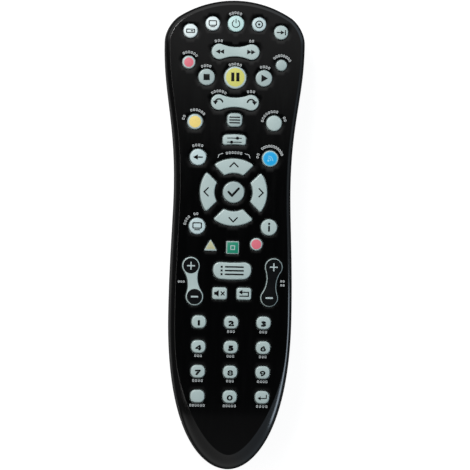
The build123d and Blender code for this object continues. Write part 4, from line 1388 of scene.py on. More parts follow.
@dataclass
class UpperShell:
    """The gloss shell: a deck with a hole for each key, a bevel that widens to the tail, and side walls."""

    body: BodyForm
    layout: Layout
    bevel: float = 2.0
    tail_bevel: float = 6.8
    bevel_from: float = -56.0
    bevel_angle: float = 22.0
    bevel_pull: float = 0.45
    bevel_steps: int = 14
    rim_drop: float = 2.6
    rim_drop_tail: float = 4.2
    crease: float = 0.06
    crease_share: float = 0.015
    under_rim: float = 0.35
    lip: float = 0.1
    lip_angles: tuple = (90, 60, 30, 0)
    wall_steps: int = 8
    seam_chamfer: float = 0.22
    chamfer_turn: float = 0.3
    rebate_inset: float = 0.9
    rebate_height: float = 1.65
    window_rebate: float = 0.05
    tail_sink: float = 0.35
    lattice: float = 1.7
    boss_radius: float = 2.7
    boss_sides: int = 40
    bore_radius: float = 1.3
    bore_depth: float = 9.0
    screw_to_boss: float = 3.8

    def bevel_width(self) -> np.ndarray:
        """Width of the bevel at each outline point: constant, then a smooth rise towards the tail.

        Returns:
            The widths.
        """
        run = self.body.half_length + self.bevel_from
        share = np.clip((self.bevel_from - self.body.points[:, 1]) / run, 0, 1)
        return self.bevel + (self.tail_bevel - self.bevel) * share**2 * (3 - 2 * share)

    def holes(self, growth: float) -> list[np.ndarray]:
        """The outline of every key's hole, grown in the way of its wall's rows, so that their seam closes.

        Args:
            growth: how far outside the hole's upright wall the outline runs.

        Returns:
            The outlines, in the order of the keys.
        """
        clearance = self.layout.keys.clearance
        walls = [form.stand(grown(form.loop, clearance)) for form in self.layout.forms.values()]
        return [grown(wall, growth) for wall in walls]

    def build(self) -> Surface:
        """The deck and its underside as plates of triangles between rings, and all other faces as grids.

        Returns:
            The shell's surface.
        """
        surface = Surface()
        body = self.body
        width = self.bevel_width()
        deck_rim = body.loop(width + self.crease)
        flat, triangles = fill([deck_rim, *self.holes(self.lip)], self.lattice)
        surface.add(lifted(flat, body.deck(flat[:, 1])), triangles)
        under_rim = body.loop(width + self.under_rim)
        flat, triangles = fill([under_rim, *self.holes(0.0)], 2 * self.lattice)
        surface.add(lifted(flat, body.deck(flat[:, 1]) - body.deck_wall), triangles[:, ::-1])
        for hole in self.holes(0.0):
            surface.add_grid(self.hole_wall(hole)[:, ::-1])
        surface.add_grid(self.skirt(deck_rim, under_rim, width))
        self.add_bosses(surface)
        return surface

    def hole_wall(self, hole: np.ndarray) -> np.ndarray:
        """A key's hole: a quarter round at the deck, then the wall down to the underside.

        Args:
            hole: the hole's outline.

        Returns:
            The rows, topmost first.
        """
        rows = []
        for angle in np.radians(self.lip_angles):
            ring = grown(hole, self.lip * (1 - math.cos(angle)))
            rows.append(lifted(ring, self.body.deck(ring[:, 1]) - self.lip * (1 - math.sin(angle))))
        for share in (0.5, 1.0):
            depth = self.lip + (self.body.deck_wall - self.lip) * share
            rows.append(lifted(hole, self.body.deck(hole[:, 1]) - depth))
        return np.array(rows)

    def bevel_rows(self, width: np.ndarray, wide: np.ndarray) -> list[np.ndarray]:
        """The bevel, from its crease at the deck to its upright foot.

        It is a cubic in inset and drop, with t from 0 to 1. It starts at (width, 0) and heads for
        (pull * width, (1 - pull) * width * tan(angle)), and it comes from (0, pull * drop) to (0, drop).

        Args:
            width: the bevel's width at each outline point.
            wide: share from the narrow bevel to the tail's wide one, at each point.

        Returns:
            The rows.
        """
        drop = self.rim_drop + (self.rim_drop_tail - self.rim_drop) * wide
        pull = self.bevel_pull
        first_drop = (1 - pull) * width * math.tan(math.radians(self.bevel_angle))
        rows = []
        for t in (0, self.crease_share, *np.linspace(0, 1, self.bevel_steps + 1)[1:]):
            leaving, arriving = 3 * (1 - t) ** 2 * t, 3 * (1 - t) * t**2
            ring = self.body.loop((1 - t) ** 3 * width + leaving * pull * width)
            fall = leaving * first_drop + arriving * pull * drop + t**3 * drop
            rows.append(lifted(ring, self.body.deck(ring[:, 1]) - fall))
        return rows

    def skirt(self, deck_rim: np.ndarray, under_rim: np.ndarray, width: np.ndarray) -> np.ndarray:
        """From the deck's rim over the bevel, down the side, round the seam and up the inside.

        Args:
            deck_rim: the deck's outer ring.
            under_rim: the outer ring of the deck's underside.
            width: the bevel's width at each outline point.

        Returns:
            The rows in that order.
        """
        body = self.body
        wide = (width - self.bevel) / (self.tail_bevel - self.bevel)
        rows = [lifted(deck_rim, body.deck(deck_rim[:, 1])), *self.bevel_rows(width, wide)]
        seam = WindowCut().height(body.points, body.parting)
        start = rows[-1][:, 2]
        for share in np.linspace(0, 1, self.wall_steps + 1)[1:]:
            rows.append(lifted(body.points, start + (seam + self.seam_chamfer - start) * share))
        turn = self.chamfer_turn * self.seam_chamfer
        rebate = seam + np.where(seam > body.parting, self.window_rebate, self.rebate_height)
        inner = body.loop(body.side_wall)
        under = body.deck(inner[:, 1]) - body.deck_wall - self.tail_sink * wide
        rows += [
            lifted(body.loop(turn), seam + turn),
            lifted(body.loop(self.seam_chamfer), seam),
            lifted(body.loop(self.rebate_inset), seam),
            lifted(body.loop(self.rebate_inset), rebate),
            lifted(inner, rebate),
            lifted(inner, under),
            lifted(under_rim, body.deck(under_rim[:, 1]) - body.deck_wall),
        ]
        return np.array(rows)

    def add_bosses(self, surface: Surface) -> None:
        """Adds four screw bosses that hang from the deck: a tube each, from inside the wall to the seat.

        Args:
            surface: the shell's surface.
        """
        ring = disc(1.0, self.boss_sides)
        for x, y, screw in screw_feet():
            low = screw + self.screw_to_boss
            high = float(self.body.deck(np.array([y]))[0]) - self.body.deck_wall / 2
            bore = low + self.bore_depth
            profile = [
                (self.boss_radius / 2, high), (self.boss_radius, high), (self.boss_radius, low),
                (self.bore_radius, low), (self.bore_radius, bore),
            ]
            rows = np.array([lifted(np.array([x, y]) + ring * radius, level) for radius, level in profile])
            surface.add_turned(rows, np.array([x, y, high]), np.array([x, y, bore]))


def screw_feet() -> list[tuple[float, float, float]]:
    """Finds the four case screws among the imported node's corners, one in each quarter.

    Returns:
        X and Y of each screw's axis, and its lowest level.
    """
    low, high = packed_box("case_screws")
    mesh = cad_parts["case_screws"].data
    flat = np.zeros(3 * len(mesh.vertices), np.float32)
    mesh.vertices.foreach_get("co", flat)
    points = flat.reshape(-1, 3) / MM
    middle_y = (low[1] + high[1]) / 2
    feet = []
    for ahead in (True, False):
        for side in (True, False):
            chosen = points[((points[:, 1] > middle_y) == ahead) & ((points[:, 0] > 0) == side)]
            centre = (chosen.min(axis=0) + chosen.max(axis=0)) / 2
            feet.append((centre[0], centre[1], chosen[:, 2].min()))
    return feet


# Printed signs


@dataclass
class Sign:
    """Loops of one sign about its own middle, each group filled by itself, and the ink that it takes."""

    ink: Stock
    groups: list[list[np.ndarray]]
    shift: tuple = (0.0, 0.0)
    layer: int = 1


PLAY = np.array([(-1.0, -1.35), (1.35, 0.0), (-1.0, 1.35)])
CHEVRON = np.array([(-1.9, -0.95), (0.0, 0.95), (1.9, -0.95)])
HOOK_HEAD = np.array([(-1.3, 0.25), (1.3, 0.25), (0.0, -1.5)])
HORN = np.array([(-2.6, -0.65), (-1.8, -0.65), (-0.5, -1.6), (-0.5, 1.6), (-1.8, 0.65), (-2.6, 0.65)])


def screen(scale: float = 1.0) -> list[list[np.ndarray]]:
    """The groups of a screen: its open rim, and its foot."""
    rim = [rounded(bar(3.9, 2.6, (0, 0.25)), 0.5), rounded(bar(3.0, 1.7, (0, 0.25)), 0.25)]
    return [[loop * scale for loop in rim], [bar(2.2, 0.42, (0, -1.5)) * scale]]


def plain_symbols() -> dict[str, list[list[np.ndarray]]]:
    """The keys that bear one black symbol.

    Returns:
        The symbol's groups of loops for each key's name.
    """
    return {
        "power_key": [[stroke(arc(1.75, 125, 415, 40), 0.42)], [stroke([(0, 0.4), (0, 2.2)], 0.42)]],
        "device_key_1": [
            [rounded(bar(4.2, 2.0), 0.4), rounded(bar(3.3, 1.1), 0.25)], [bar(1.1, 0.5, (0.7, 0))],
        ],
        "device_key_2": screen(),
        "device_key_3": [[disc(1.8, 60), disc(1.3, 50)], [disc(0.55, 24)]],
        "device_key_4": [
            [stroke([(-1.9, 0), (0.3, 0)], 0.5)], [PLAY * 0.72 + (0.55, 0)], [bar(0.5, 2.5, (2.0, 0))],
        ],
        "stop_key": [[bar(2.9, 2.9)]],
        "play_key": [[PLAY * 1.32 + (0.1, 0)]],
        "menu_key": [[stroke([(-2.3, level), (2.3, level)], 0.6)] for level in (-1.3, 0.0, 1.3)],
        "back_key": [[stroke([(-0.6, 0), (2.0, 0)], 0.62)], [PLAY * (-0.95, 0.95) + (-1.1, 0)]],
        "ok_key": [[stroke([(-2.4, 0.1), (-0.75, -1.6), (2.4, 1.8)], 1.05)]],
        "exit_key": screen(1.15),
        "info_key": [[stroke([(0, -1.6), (0, 0.4)], 0.85)], [disc(0.55, 24, (0, 1.65))]],
        "mute_key": [[HORN], [turned(plus(1.25, 0.5), 45) + (1.4, 0)]],
        "last_key": [
            [stroke([(-1.0, 0.75), (2.1, 0.75), (2.1, -1.1), (-1.9, -1.1)], 0.52)],
            [PLAY * (-0.75, 0.85) + (-1.5, 0.75)],
        ],
        "enter_key": [
            [stroke([(2.0, 1.1), (2.0, -0.5), (-0.6, -0.5)], 0.46)], [PLAY * (-0.62, 0.7) + (-1.3, -0.5)],
        ],
    }


def coloured_faces() -> dict[str, list[Sign]]:
    """The keys whose tops are printed in a colour, and what lies on that colour.

    Returns:
        The signs for each key's name, lowest first.
    """
    corner = (-0.9, -0.9)
    waves = [[stroke(arc(radius, 0, 90, count, corner), 0.36)] for radius, count in ((1.2, 12), (2.1, 16))]
    pause = [[bar(1.5, 4.1, (x, 0.3))] for x in (-1.2, 1.2)]
    return {
        "pause_key": [
            Sign(Stock.YELLOW, [[disc(4.35, 120)]], (0, 0.12)),
            Sign(Stock.BLACK, pause, layer=2),
        ],
        "record_key": [Sign(Stock.RED, [[disc(2.2, 80)]])],
        "demand_key": [Sign(Stock.ORANGE, [[disc(2.75, 90)]])],
        "blue_key": [
            Sign(Stock.SKY, [[disc(3.4, 100)]]),
            Sign(Stock.BLUE, [[disc(2.9, 100)]], layer=2),
            Sign(Stock.PALE_SKY, [[disc(0.5, 24, corner)], *waves], layer=3),
        ],
        "triangle_key": [Sign(Stock.CREAM, [[rounded([(-2.35, -1.95), (2.35, -1.95), (0, 2.1)], 0.25)]])],
        "square_key": [
            Sign(Stock.GREEN, [[bar(5.2, 5.2)]]),
            Sign(Stock.LIGHT, [[bar(2.2, 2.2), bar(1.4, 1.4)]], layer=2),
        ],
        "round_key": [Sign(Stock.RED, [[disc(2.3, 80)]])],
    }


def listed_signs() -> dict[str, list[Sign]]:
    """The two wide keys: sliders for one, and a list of three lines with their marks for the other.

    Returns:
        The signs for each key's name.
    """
    rails = [[stroke([(-3.3, level), (3.3, level)], 0.42)] for level in (-0.8, 1.1)]
    knobs = [[disc(0.72, 30, spot)] for spot in ((-1.3, -0.8), (1.4, 1.1))]
    lines = [
        Sign(Stock.BLACK, [[stroke([(-3.2, level), (5.1, level)], 0.72)], [bar(0.95, 0.95, (-5.0, level))]])
        for level in (-2.1, -0.35, 1.4)
    ]
    return {"setup_key": [Sign(Stock.BLACK, rails), Sign(Stock.BLACK, knobs)], "guide_key": lines}


def flat_rocker_signs() -> dict[str, list[Sign]]:
    """The two flat rockers: double triangles for one, and hooked arrows for the other, both ways.

    Returns:
        The signs for each rocker's name.
    """
    fast = PLAY * (0.88, 0.84)
    hook = arc(1.75, 165, 24, 22, (0.0, -0.6))
    search = [
        Sign(Stock.BLACK, [[fast * side + (7.25 * side + 0.95 * step, 0)]])
        for side in (-1, 1) for step in (-1, 1)
    ]
    skip = []
    for side in (-1, 1):
        groups = [[stroke(hook * (side, 1), 0.75)], [HOOK_HEAD + (1.65 * side, 0.0)]]
        skip.append(Sign(Stock.BLACK, groups, (7.55 * side, 0.35)))
    return {"search_rocker": search, "skip_rocker": skip}


def signs() -> dict[str, list[Sign]]:
    """Every key's printed sign, as plain symbols.

    Returns:
        The signs for each key's name, in the order that they are printed.
    """
    table = {name: [Sign(Stock.BLACK, groups)] for name, groups in plain_symbols().items()}
    table |= coloured_faces() | listed_signs() | flat_rocker_signs()
    for name, turn in ARROW_TURNS.items():
        shift = tuple(turned(np.array([[0.0, 12.9]]), turn)[0])
        table[name] = [Sign(Stock.BLACK, [[stroke(turned(CHEVRON, turn), 0.62)]], shift)]
    for name, (sizes, turn) in ROCKERS.items():
        if turn:
            table[name] = side_rocker_signs(name, sizes, turn)
    return table


def side_rocker_signs(name: str, sizes: tuple, turn: float) -> list[Sign]:
    """Plus and minus on a side rocker: on two black discs, or on a black face inside a pale rim.

    Args:
        name: the rocker's node.
        sizes: its pitch, lobe radius and waist.
        turn: how far it is turned, in degrees, so that its signs stand upright.

    Returns:
        The black faces, then the plus and the minus.
    """
    half = sizes[0] / 2
    if name == "volume_rocker":
        pads = [Sign(Stock.BLACK, [[disc(sizes[1] - 0.62, 90, (half * side, 0))]]) for side in (-1, 1)]
    else:
        face = grown(resample(dumbbell(*sizes), 200), -0.45)
        pads = [Sign(Stock.BLACK, [[resample(face, 180)]])]
    upright = [turned(plus(1.85, 0.55), -turn), turned(bar(3.4, 0.75), -turn)]
    ends = ((half, upright[0]), (-half, upright[1]))
    return pads + [Sign(Stock.LIGHT, [[loop + (along, 0)]], layer=2) for along, loop in ends]


def letter(character: str) -> tuple[np.ndarray, np.ndarray]:
    """The outline of a built-in letter shape.

    Args:
        character: the letter or digit.

    Returns:
        Its points in plan, and the pairs of points that its edges join.
    """
    curve = bpy.data.curves.new("digit", "FONT")
    curve.body = character
    curve.fill_mode = "NONE"
    curve.resolution_u = LETTER_STEPS
    holder = bpy.data.objects.new("digit", curve)
    bpy.context.scene.collection.objects.link(holder)
    bpy.context.view_layer.update()
    drawn = holder.evaluated_get(bpy.context.evaluated_depsgraph_get())
    mesh = bpy.data.meshes.new_from_object(drawn)
    flat = np.zeros(3 * len(mesh.vertices), np.float32)
    mesh.vertices.foreach_get("co", flat)
    edges = np.zeros(2 * len(mesh.edges), np.int32)
    mesh.edges.foreach_get("vertices", edges)
    bpy.data.objects.remove(holder)
    bpy.data.meshes.remove(mesh)
    bpy.data.curves.remove(curve)
    return flat.reshape(-1, 3)[:, :2].astype(float), edges.reshape(-1, 2)


@dataclass
class Printer:
    """Lays signs on keys and captions on the deck as thin closed inlays that follow what they lie on."""

    keys: KeySet
    layout: Layout
    step: float = 0.5
    lift: float = 0.03
    sink: float = 0.12
    digit_height: float = 2.6
    digit_bold: float = 0.29
    digit_counter: float = 0.06
    digit_wide: float = 1.72
    digit_shift: float = -0.5
    digit_spacing: float = 0.09

    def inlay(self, form: KeyForm, sign: Sign) -> Surface:
        """A sign's groups, each filled and carried onto the key's top.

        Args:
            form: the key's form.
            sign: what is printed on it.

        Returns:
            The inlay's surface.
        """
        surface = Surface()
        for group in sign.groups:
            loops = [divided(loop + np.array(sign.shift), self.step) for loop in group]
            self.lay(surface, form, fill(loops, self.step), sign.layer)
        return surface

    def lay(self, surface: Surface, form: KeyForm, plan: tuple[np.ndarray, np.ndarray], layer: int) -> None:
        """Adds a plate over the points and triangles of the key's own plan.

        Args:
            surface: the inlay so far.
            form: the key's form.
            plan: points of the key's own plan, and triangles over them.
            layer: how many layers of ink lie there.
        """
        flat, triangles = plan
        top = self.keys.top(form, flat)
        surface.add_plate(form.stand(flat), triangles, top + self.lift * layer, top - self.sink)

    def digit(self, character: str) -> list[np.ndarray]:
        """Outlines of one bold digit about its own middle, from the built-in letter shapes.

        A letter's outline is made bolder by growing its outer loop and shrinking its counters, which run
        the other way round. Splines follow each other, so a side between far numbers closes a loop.

        Args:
            character: the digit.

        Returns:
            Its loops.
        """
        points, edges = letter(character)
        points -= (points.min(axis=0) + points.max(axis=0)) / 2
        height = self.digit_height - 2 * self.digit_bold
        points *= height / np.ptp(points[:, 1]) * np.array([self.digit_wide, 1.0])
        pairs = np.sort(edges, axis=1)
        closing = pairs[pairs[:, 1] - pairs[:, 0] > 1]
        loops = [points[first:last + 1] for first, last in sorted(closing.tolist())]
        if max((area(loop) for loop in loops), key=abs) < 0:
            loops = [loop[::-1] for loop in loops]
        bolder = []
        for loop in loops:
            length = np.linalg.norm(loop - np.roll(loop, 1, axis=0), axis=1).sum()
            amount = self.digit_bold if area(loop) > 0 else self.digit_counter
            bolder.append(grown(resample(loop, int(length / self.digit_spacing)), amount))
        return bolder

    def dress_keys(self) -> None:
        """Prints every key's sign."""
        table = signs()
        for name, form in self.layout.forms.items():
            for count, sign in enumerate(table.get(name, [])):
                self.put(f"{name}_sign_{count + 1}", form, sign)
            if name.startswith("digit"):
                sign = Sign(Stock.BLACK, [self.digit(name.split("_")[1])], (0, self.digit_shift))
                self.put(f"{name}_sign", form, sign)

    def put(self, name: str, form: KeyForm, sign: Sign) -> None:
        """Makes one sign ride on its key."""
        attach(self.inlay(form, sign).make(name, sign.ink.material(), PRINT_CREASE), form.name)


@dataclass
class Caption:
    """A run of small open boxes printed on the deck, on an arc round a point or on a straight line."""

    name: str
    key: str
    count: int
    radius: float
    middle: float = 90.0
    shift: tuple = (0.0, 0.0)
    straight: bool = False
    pitch: float = 1.3
    size: tuple = (0.9, 1.2)
    wall: float = 0.26
    outer_corner: float = 0.28
    inner_corner: float = 0.1

    def loops(self) -> list[np.ndarray]:
        """Each box is a rounded outline with its hole, turned to stand on the arc.

        Returns:
            The loops about the key's middle.
        """
        steps = (np.arange(self.count) - (self.count - 1) / 2) * self.pitch
        outer = np.array(self.size)
        hole = outer - 2 * self.wall
        rings = [rounded(bar(*outer), self.outer_corner, 4), rounded(bar(*hole), self.inner_corner, 3)]
        if self.straight:
            return [ring + (step, self.radius) + self.shift for step in steps for ring in rings]
        angles = self.middle - 90 - np.degrees(steps / self.radius)
        return [turned(ring + (0, self.radius), angle) + self.shift for angle in angles for ring in rings]


CAPTIONS = (
    Caption("power", "power_key", 5, 5.2, 92),
    Caption("record", "record_key", 6, 4.8, 80),
    Caption("source", "source_key", 8, 4.6, 82, pitch=1.2),
    Caption("stop", "stop_key", 4, 5.4, 92),
    Caption("pause", "pause_key", 5, 6.4, 90),
    Caption("play", "play_key", 4, 5.4, 84),
    Caption("rewind", "search_rocker", 3, 5.2, 94, (-7.55, 0), pitch=1.4),
    Caption("forward", "search_rocker", 2, 5.2, 90, (7.55, 0)),
    Caption("replay", "skip_rocker", 6, 5.3, 90, (-7.55, 0)),
    Caption("skip", "skip_rocker", 3, 5.3, 90, (7.55, 0), pitch=1.4),
    Caption("demand_1", "demand_key", 2, 5.6, 160),
    Caption("demand_2", "demand_key", 6, 5.6, 75, pitch=1.3),
    Caption("library_1", "library_key", 8, 5.5, 122, pitch=1.3),
    Caption("library_2", "library_key", 2, 5.5, 22),
    Caption("back", "back_key", 4, 5.7, 92, pitch=1.4),
    Caption("go_1", "blue_key", 2, 5.9, 168),
    Caption("go_2", "blue_key", 11, 5.9, 74, pitch=1.12),
    Caption("browse", "ok_key", 6, 18.6, pitch=1.35),
    Caption("exit_1", "exit_key", 4, 5.8, 151, pitch=1.3),
    Caption("exit_2", "exit_key", 2, 5.8, 96, pitch=1.3),
    Caption("volume", "volume_rocker", 3, 0.0, 90, (-5.3, -0.3), True, 1.15, (0.85, 1.0)),
    Caption("channel_1", "channel_rocker", 2, 0.0, 90, (5.2, 0.7), True, 1.15, (0.85, 1.0)),
    Caption("channel_2", "channel_rocker", 2, 0.0, 90, (5.2, -1.2), True, 1.15, (0.85, 1.0)),
    *(
        Caption(f"number_{digit}", f"digit_{digit}_key", 4 if digit in (7, 9) else 3, -4.3, straight=True)
        for digit in (2, 3, 4, 5, 6, 8, 7, 9)
    ),
    Caption("clear", "clear_key", 6, -4.3, straight=True, pitch=1.25),
    Caption("zero", "digit_0_key", 5, -4.3, straight=True),
    Caption("enter", "enter_key", 4, -4.3, straight=True, pitch=1.45),
)


@dataclass
class DeckPrinting:
    """The white captions on the deck, as runs of plain open boxes."""

    body: BodyForm
    layout: Layout
    lift: float = 0.025
    sink: float = 0.1
    bracket_pen: float = 0.3
    bracket_radius: float = 18.9
    bracket_sweep: float = 6.0
    bracket_turn: float = 16.0
    hook_radius: float = 17.9
    hook_sweep: tuple = (8.5, 9.0)

    def plate(self, loops: list[np.ndarray]) -> Surface:
        """Closed loops carried onto the deck.

        Args:
            loops: closed outlines.

        Returns:
            The plate's surface.
        """
        surface = Surface()
        flat, triangles = fill(loops)
        top = self.body.deck(flat[:, 1])
        surface.add_plate(flat, triangles, top + self.lift, top - self.sink)
        return surface

    def build(self) -> None:
        """Prints every caption and the two brackets beside the one over the arrow keys."""
        for caption in CAPTIONS:
            place = self.layout.forms[caption.key].place
            self.put(f"caption_{caption.name}", [loop + place for loop in caption.loops()])
        pad = self.layout.forms["ok_key"].place
        for name, side in (("left", 1), ("right", -1)):
            bow = arc(self.bracket_radius, 90, 90 + self.bracket_sweep * side, 5)
            hook = arc(self.hook_radius, *(90 + sweep * side for sweep in self.hook_sweep), 2)
            line = turned(np.vstack([bow, hook]), self.bracket_turn * side)
            self.put(f"caption_bracket_{name}", [stroke(line, self.bracket_pen) + pad])

    def put(self, name: str, loops: list[np.ndarray]) -> None:
        """Makes one caption ride on the casing."""
        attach(self.plate(loops).make(name, Stock.WHITE.material(), PRINT_CREASE), "casing")


# The battery bay


@dataclass
class ContactSprings:
    """The two conical springs of the battery bay, each one unbroken wire."""

    wire: float = 0.45
    turns: float = 4.5
    base_radius: float = 3.95
    tip_radius: float = 2.2
    length: float = 3.35
    flat_share: float = 0.08
    steps: int = 260
    sides: int = 12

    def helix(self, centre: tuple, start_y: float, length: float) -> np.ndarray:
        """The wire's middle line: radius falls evenly from base to tip while the coil runs along Y.

        A share of the wire at each end stays flat.

        Args:
            centre: X and Z of the coil's axis.
            start_y: Y of its base.
            length: how far it runs, below zero towards the tail.

        Returns:
            The line's points.
        """
        share = np.linspace(0, 1, self.steps)
        angle = 2 * np.pi * self.turns * share
        radius = self.base_radius + (self.tip_radius - self.base_radius) * share
        run = np.clip((share - self.flat_share) / (1 - 2 * self.flat_share), 0, 1)
        across, up = radius * np.cos(angle), radius * np.sin(angle)
        return np.stack([centre[0] + across, start_y + length * run, centre[1] + up], axis=1)

    def tube(self, line: np.ndarray) -> Surface:
        """A round wire along a line: at each point a ring in the plane of two normals of its heading.

        Args:
            line: the wire's middle line.

        Returns:
            The wire's surface, closed at both ends.
        """
        heading = unit(np.gradient(line, axis=0))
        across = unit(np.cross(heading, np.array([0.0, 1.0, 0.0])))
        up = np.cross(across, heading)
        angles = np.linspace(0, 2 * np.pi, self.sides, endpoint=False)[None, :, None]
        ring = np.cos(angles) * across[:, None] + np.sin(angles) * up[:, None]
        rows = line[:, None] + self.wire / 2 * ring
        surface = Surface()
        surface.add_turned(rows[::-1], line[-1], line[0])
        return surface

    def build(self) -> None:
        """Sets each spring where its packed sleeve stands."""
        low, high = packed_box("spring_contacts")
        left, right = packed_box("cell_left"), packed_box("cell_right")
        for name, cell, start, length in (
            ("spring_head", right, high[1] - self.wire / 2, -self.length),
            ("spring_tail", left, low[1] + self.wire / 2, self.length),
        ):
            centre = ((cell[0, 0] + cell[1, 0]) / 2, (cell[0, 2] + cell[1, 2]) / 2)
            line = self.helix(centre, start, length)
            piece = self.tube(line).make(name, Stock.SPRING.material(), WIRE_CREASE)
            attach(piece, "casing")
            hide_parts("spring_contacts")


# The remote as a whole


# Keys that take a lighter copy of the key plastic as painted light, and keys that take the darker copy as
# painted shade
KEY_STOCK = {
    "device_key_1": Stock.BRIGHT_KEY, "device_key_2": Stock.BRIGHT_KEY, "power_key": Stock.MINT_KEY,
    "device_key_3": Stock.LIGHT_KEY, "back_key": Stock.LIGHT_KEY, "exit_key": Stock.LIGHT_KEY,
    "source_key": Stock.DIM_KEY, "stop_key": Stock.DIM_KEY, "play_key": Stock.DIM_KEY,
    "menu_key": Stock.DIM_KEY, "ok_key": Stock.DIM_KEY,
}
NODE_STOCK = {
    "bottom_case": Stock.LOWER, "battery_cover": Stock.COVER, "ir_window": Stock.WINDOW,
    "keypad_sheet": Stock.SHEET, "ir_emitters": Stock.EMITTER, "controller_chip": Stock.CHIP,
    "resonator": Stock.CAN, "capacitor": Stock.SLEEVE, "plate_contacts": Stock.PLATE,
    "case_screws": Stock.SCREW, "top_case": Stock.SHELL, "spring_contacts": Stock.SPRING,
}
SLEEVE_START = 2.4
BAND_END = 14.0
SLEEVE_END = 49.4


def cell_sleeve(name: str) -> bpy.types.Material:
    """A cell's sleeve. The left cell's tip points to the head, and the right one's to the tail.

    Args:
        name: the cell's node.

    Returns:
        The material.
    """
    low, high = packed_box(name)[:, 1]
    tip, inward = (high, -1) if name == "cell_left" else (low, 1)
    start, band, end = (tip + inward * depth for depth in (SLEEVE_START, BAND_END, SLEEVE_END))
    return CellSleeve(f"{name}_sleeve", tuple(sorted((start, band))), tuple(sorted((start, end)))).make()


def dress_nodes() -> None:
    """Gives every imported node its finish, those that a finer piece stands for too."""
    for name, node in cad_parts.items():
        if name.startswith("cell"):
            material = cell_sleeve(name)
        elif name == "circuit_board":
            material = SolderMask().make()
        else:
            material = NODE_STOCK.get(name, Stock.KEY).material()
        for slot in node.material_slots:
            slot.material = material


def build_keys(keys: KeySet, layout: Layout) -> None:
    """Sets each key's fine body in place of its packed one.

    Args:
        keys: the sizes that all keys share.
        layout: every key's form.
    """
    for name, form in layout.forms.items():
        stock = KEY_STOCK.get(name, Stock.KEY)
        piece = keys.build(form).make(f"{name}_body", stock.material(), KEY_CREASE)
        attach(piece, name)
        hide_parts(name)


# Light, floor and camera


@dataclass(frozen=True)
class Lamp:
    """A soft box that faces the remote, sized along the table first and then in height."""

    name: str
    place: tuple
    size: tuple
    watts: float
    colour: tuple = (1.0, 1.0, 1.0)

    def build(self) -> None:
        """Hangs the lamp in its place."""
        light = bpy.data.lights.new(self.name, "AREA")
        light.shape = "RECTANGLE"
        light.energy = self.watts
        light.color = self.colour
        light.size, light.size_y = self.size
        holder = bpy.data.objects.new(self.name, light)
        bpy.context.scene.collection.objects.link(holder)
        facing = Vector(self.place).to_track_quat("Z", "Y").to_matrix().to_4x4()
        holder.matrix_world = Matrix.Translation(self.place) @ facing


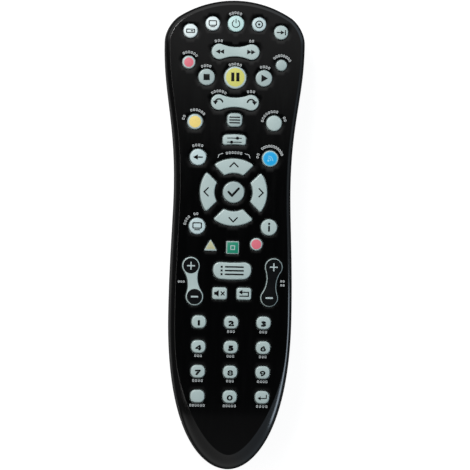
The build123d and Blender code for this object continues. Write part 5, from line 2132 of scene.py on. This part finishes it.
@dataclass
class Studio:
    """A pale table, a soft strip light to the upper left, weak boxes, a dim sky, and the camera above."""

    lamps: tuple = (
        Lamp("strip", (-0.62, 0.05, 1.05), (1.10, 0.30), 4.0, (1.0, 0.995, 0.98)),
        Lamp("head_box", (-0.32, 0.56, 0.76), (0.32, 0.32), 6.6),
        Lamp("right_box", (0.875, -0.284, 0.53), (0.60, 0.2), 2.0, (0.72, 0.86, 1.0)),
    )
    distance: float = 8.0
    lean: float = 3.2
    roll: float = 1.1
    view_width: float = 0.22067
    silhouette: float = 0.015
    aim: tuple = (0.0018, 0.0)
    sensor: float = 36.0
    table_half: float = 900.0
    table_steps: int = 13
    table_level: float = -0.05
    table_glow: float = 0.92
    table_dark: float = 0.045
    table_tones: tuple = (0.14, 0.16)
    table_grain: float = 3.0
    sky_least: float = 0.008
    sky_low: float = 0.4
    sky_tail: float = 0.12
    sky_head: float = 0.54
    sky_seen: float = 1.3
    sky_blue: tuple = (0.75, 0.88, 1.0)
    low_band: tuple = (0.05, 0.6)
    floor_band: tuple = (0.15, 0.4)
    floor_share: float = 0.45
    left_band: tuple = (0.15, 0.6)
    left_loss: float = 0.85
    tail_side_band: tuple = (0.4, 0.52)
    tail_band: tuple = (0.05, 0.35)
    head_band: tuple = (0.1, 0.42)
    blue_band: tuple = (0.1, 0.7)

    def build(self) -> None:
        """Sets up everything that isn't the remote."""
        self.floor()
        self.sky()
        for lamp in self.lamps:
            lamp.build()
        self.camera()

    def floor(self) -> None:
        """A table that is white to the camera and keeps the remote's shadow."""
        graph = Graph(bpy.data.materials.new("table_white"))
        seen = graph.node("ShaderNodeLightPath").outputs["Is Camera Ray"]
        grey = [(tone,) * 3 for tone in self.table_tones]
        shown = graph.mixed(graph.noise(self.table_grain, 3.0), *grey)
        tone = graph.mixed(seen, (self.table_dark,) * 3, shown)
        glow = graph.mixed(seen, (0.0, 0.0, 0.0), (self.table_glow,) * 3)
        graph.finish(Base_Color=tone, Roughness=0.9, Emission_Color=glow, Emission_Strength=1.0)
        surface = Surface()
        steps = np.linspace(-self.table_half, self.table_half, self.table_steps)
        x, y = np.meshgrid(steps, steps, indexing="ij")
        surface.add_grid(np.stack([x, y, np.full_like(x, self.table_level)], axis=-1), closed=False)
        surface.make("table", graph.owner)

    def sky(self) -> None:
        """A sky that is dark overhead, brighter low down and to the head, and dark and less blue to the left.

        With the direction's parts x, y and z, the level is the sum of a glow that rises with 1 - z, a weaker
        one that rises with -y, and one that rises with y. The first two fall towards -X, but not at the tail.
        """
        world = bpy.data.worlds.new("studio_sky")
        bpy.context.scene.world = world
        graph = Graph(world, "Background")
        seen = graph.node("ShaderNodeLightPath").outputs["Is Camera Ray"]
        direction = graph.node("ShaderNodeTexCoord").outputs["Generated"]
        split = graph.node("ShaderNodeSeparateXYZ", None, {0: direction})
        across, ahead, up = (Number(graph, split.outputs[axis]) for axis in "XYZ")
        left, behind = 0 - across, 0 - ahead
        over_floor = self.floor_share + (1 - self.floor_share) * up.smooth(*self.floor_band)
        low = self.sky_low * ((1 - up).smooth(*self.low_band) * over_floor)
        low = low + self.sky_tail * behind.smooth(*self.tail_band)
        beside = 1 - behind.smooth(*self.tail_side_band)
        side = 1 - self.left_loss * left.smooth(*self.left_band) * beside
        level = self.sky_least + side * low + self.sky_head * ahead.smooth(*self.head_band)
        tint = graph.mixed(across.smooth(*self.blue_band), (1.0, 1.0, 1.0), self.sky_blue)
        lit = graph.mixed(level, (0.0, 0.0, 0.0), tint)
        graph.finish(Color=graph.mixed(seen, lit, (self.sky_seen,) * 3), Strength=1.0)

    def camera(self) -> None:
        """Nearly straight above, a little to the left, rolled as the photograph is."""
        lens = bpy.data.cameras.new("camera")
        lens.sensor_width = self.sensor
        lens.lens = self.sensor * self.distance / self.view_width
        holder = bpy.data.objects.new("camera", lens)
        bpy.context.scene.collection.objects.link(holder)
        target = Vector((*self.aim, self.silhouette))
        lean, roll = math.radians(self.lean), math.radians(self.roll)
        back = Vector((-math.sin(lean), 0.0, math.cos(lean)))
        head = Vector((-math.sin(roll), math.cos(roll), 0.0))
        right = head.cross(back).normalized()
        up = back.cross(right)
        turn = Matrix((right, up, back)).transposed().to_4x4()
        holder.matrix_world = Matrix.Translation(target + back * self.distance) @ turn
        bpy.context.scene.camera = holder


def main() -> None:
    """Builds the remote's pieces in order, then the light, the floor and the camera."""
    logging.basicConfig(level=logging.INFO, format="%(message)s")
    body = BodyForm()
    keys = KeySet(body)
    layout = Layout(keys)
    dress_nodes()
    shell = UpperShell(body, layout).build().make("upper_shell", Stock.SHELL.material(), SHELL_CREASE)
    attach(shell, "casing")
    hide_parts("top_case")
    build_keys(keys, layout)
    Printer(keys, layout).dress_keys()
    DeckPrinting(body, layout).build()
    ContactSprings().build()
    Studio().build()
    bpy.context.scene.view_settings.view_transform = "Standard"
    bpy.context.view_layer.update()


if __name__ == "__main__":
    main()
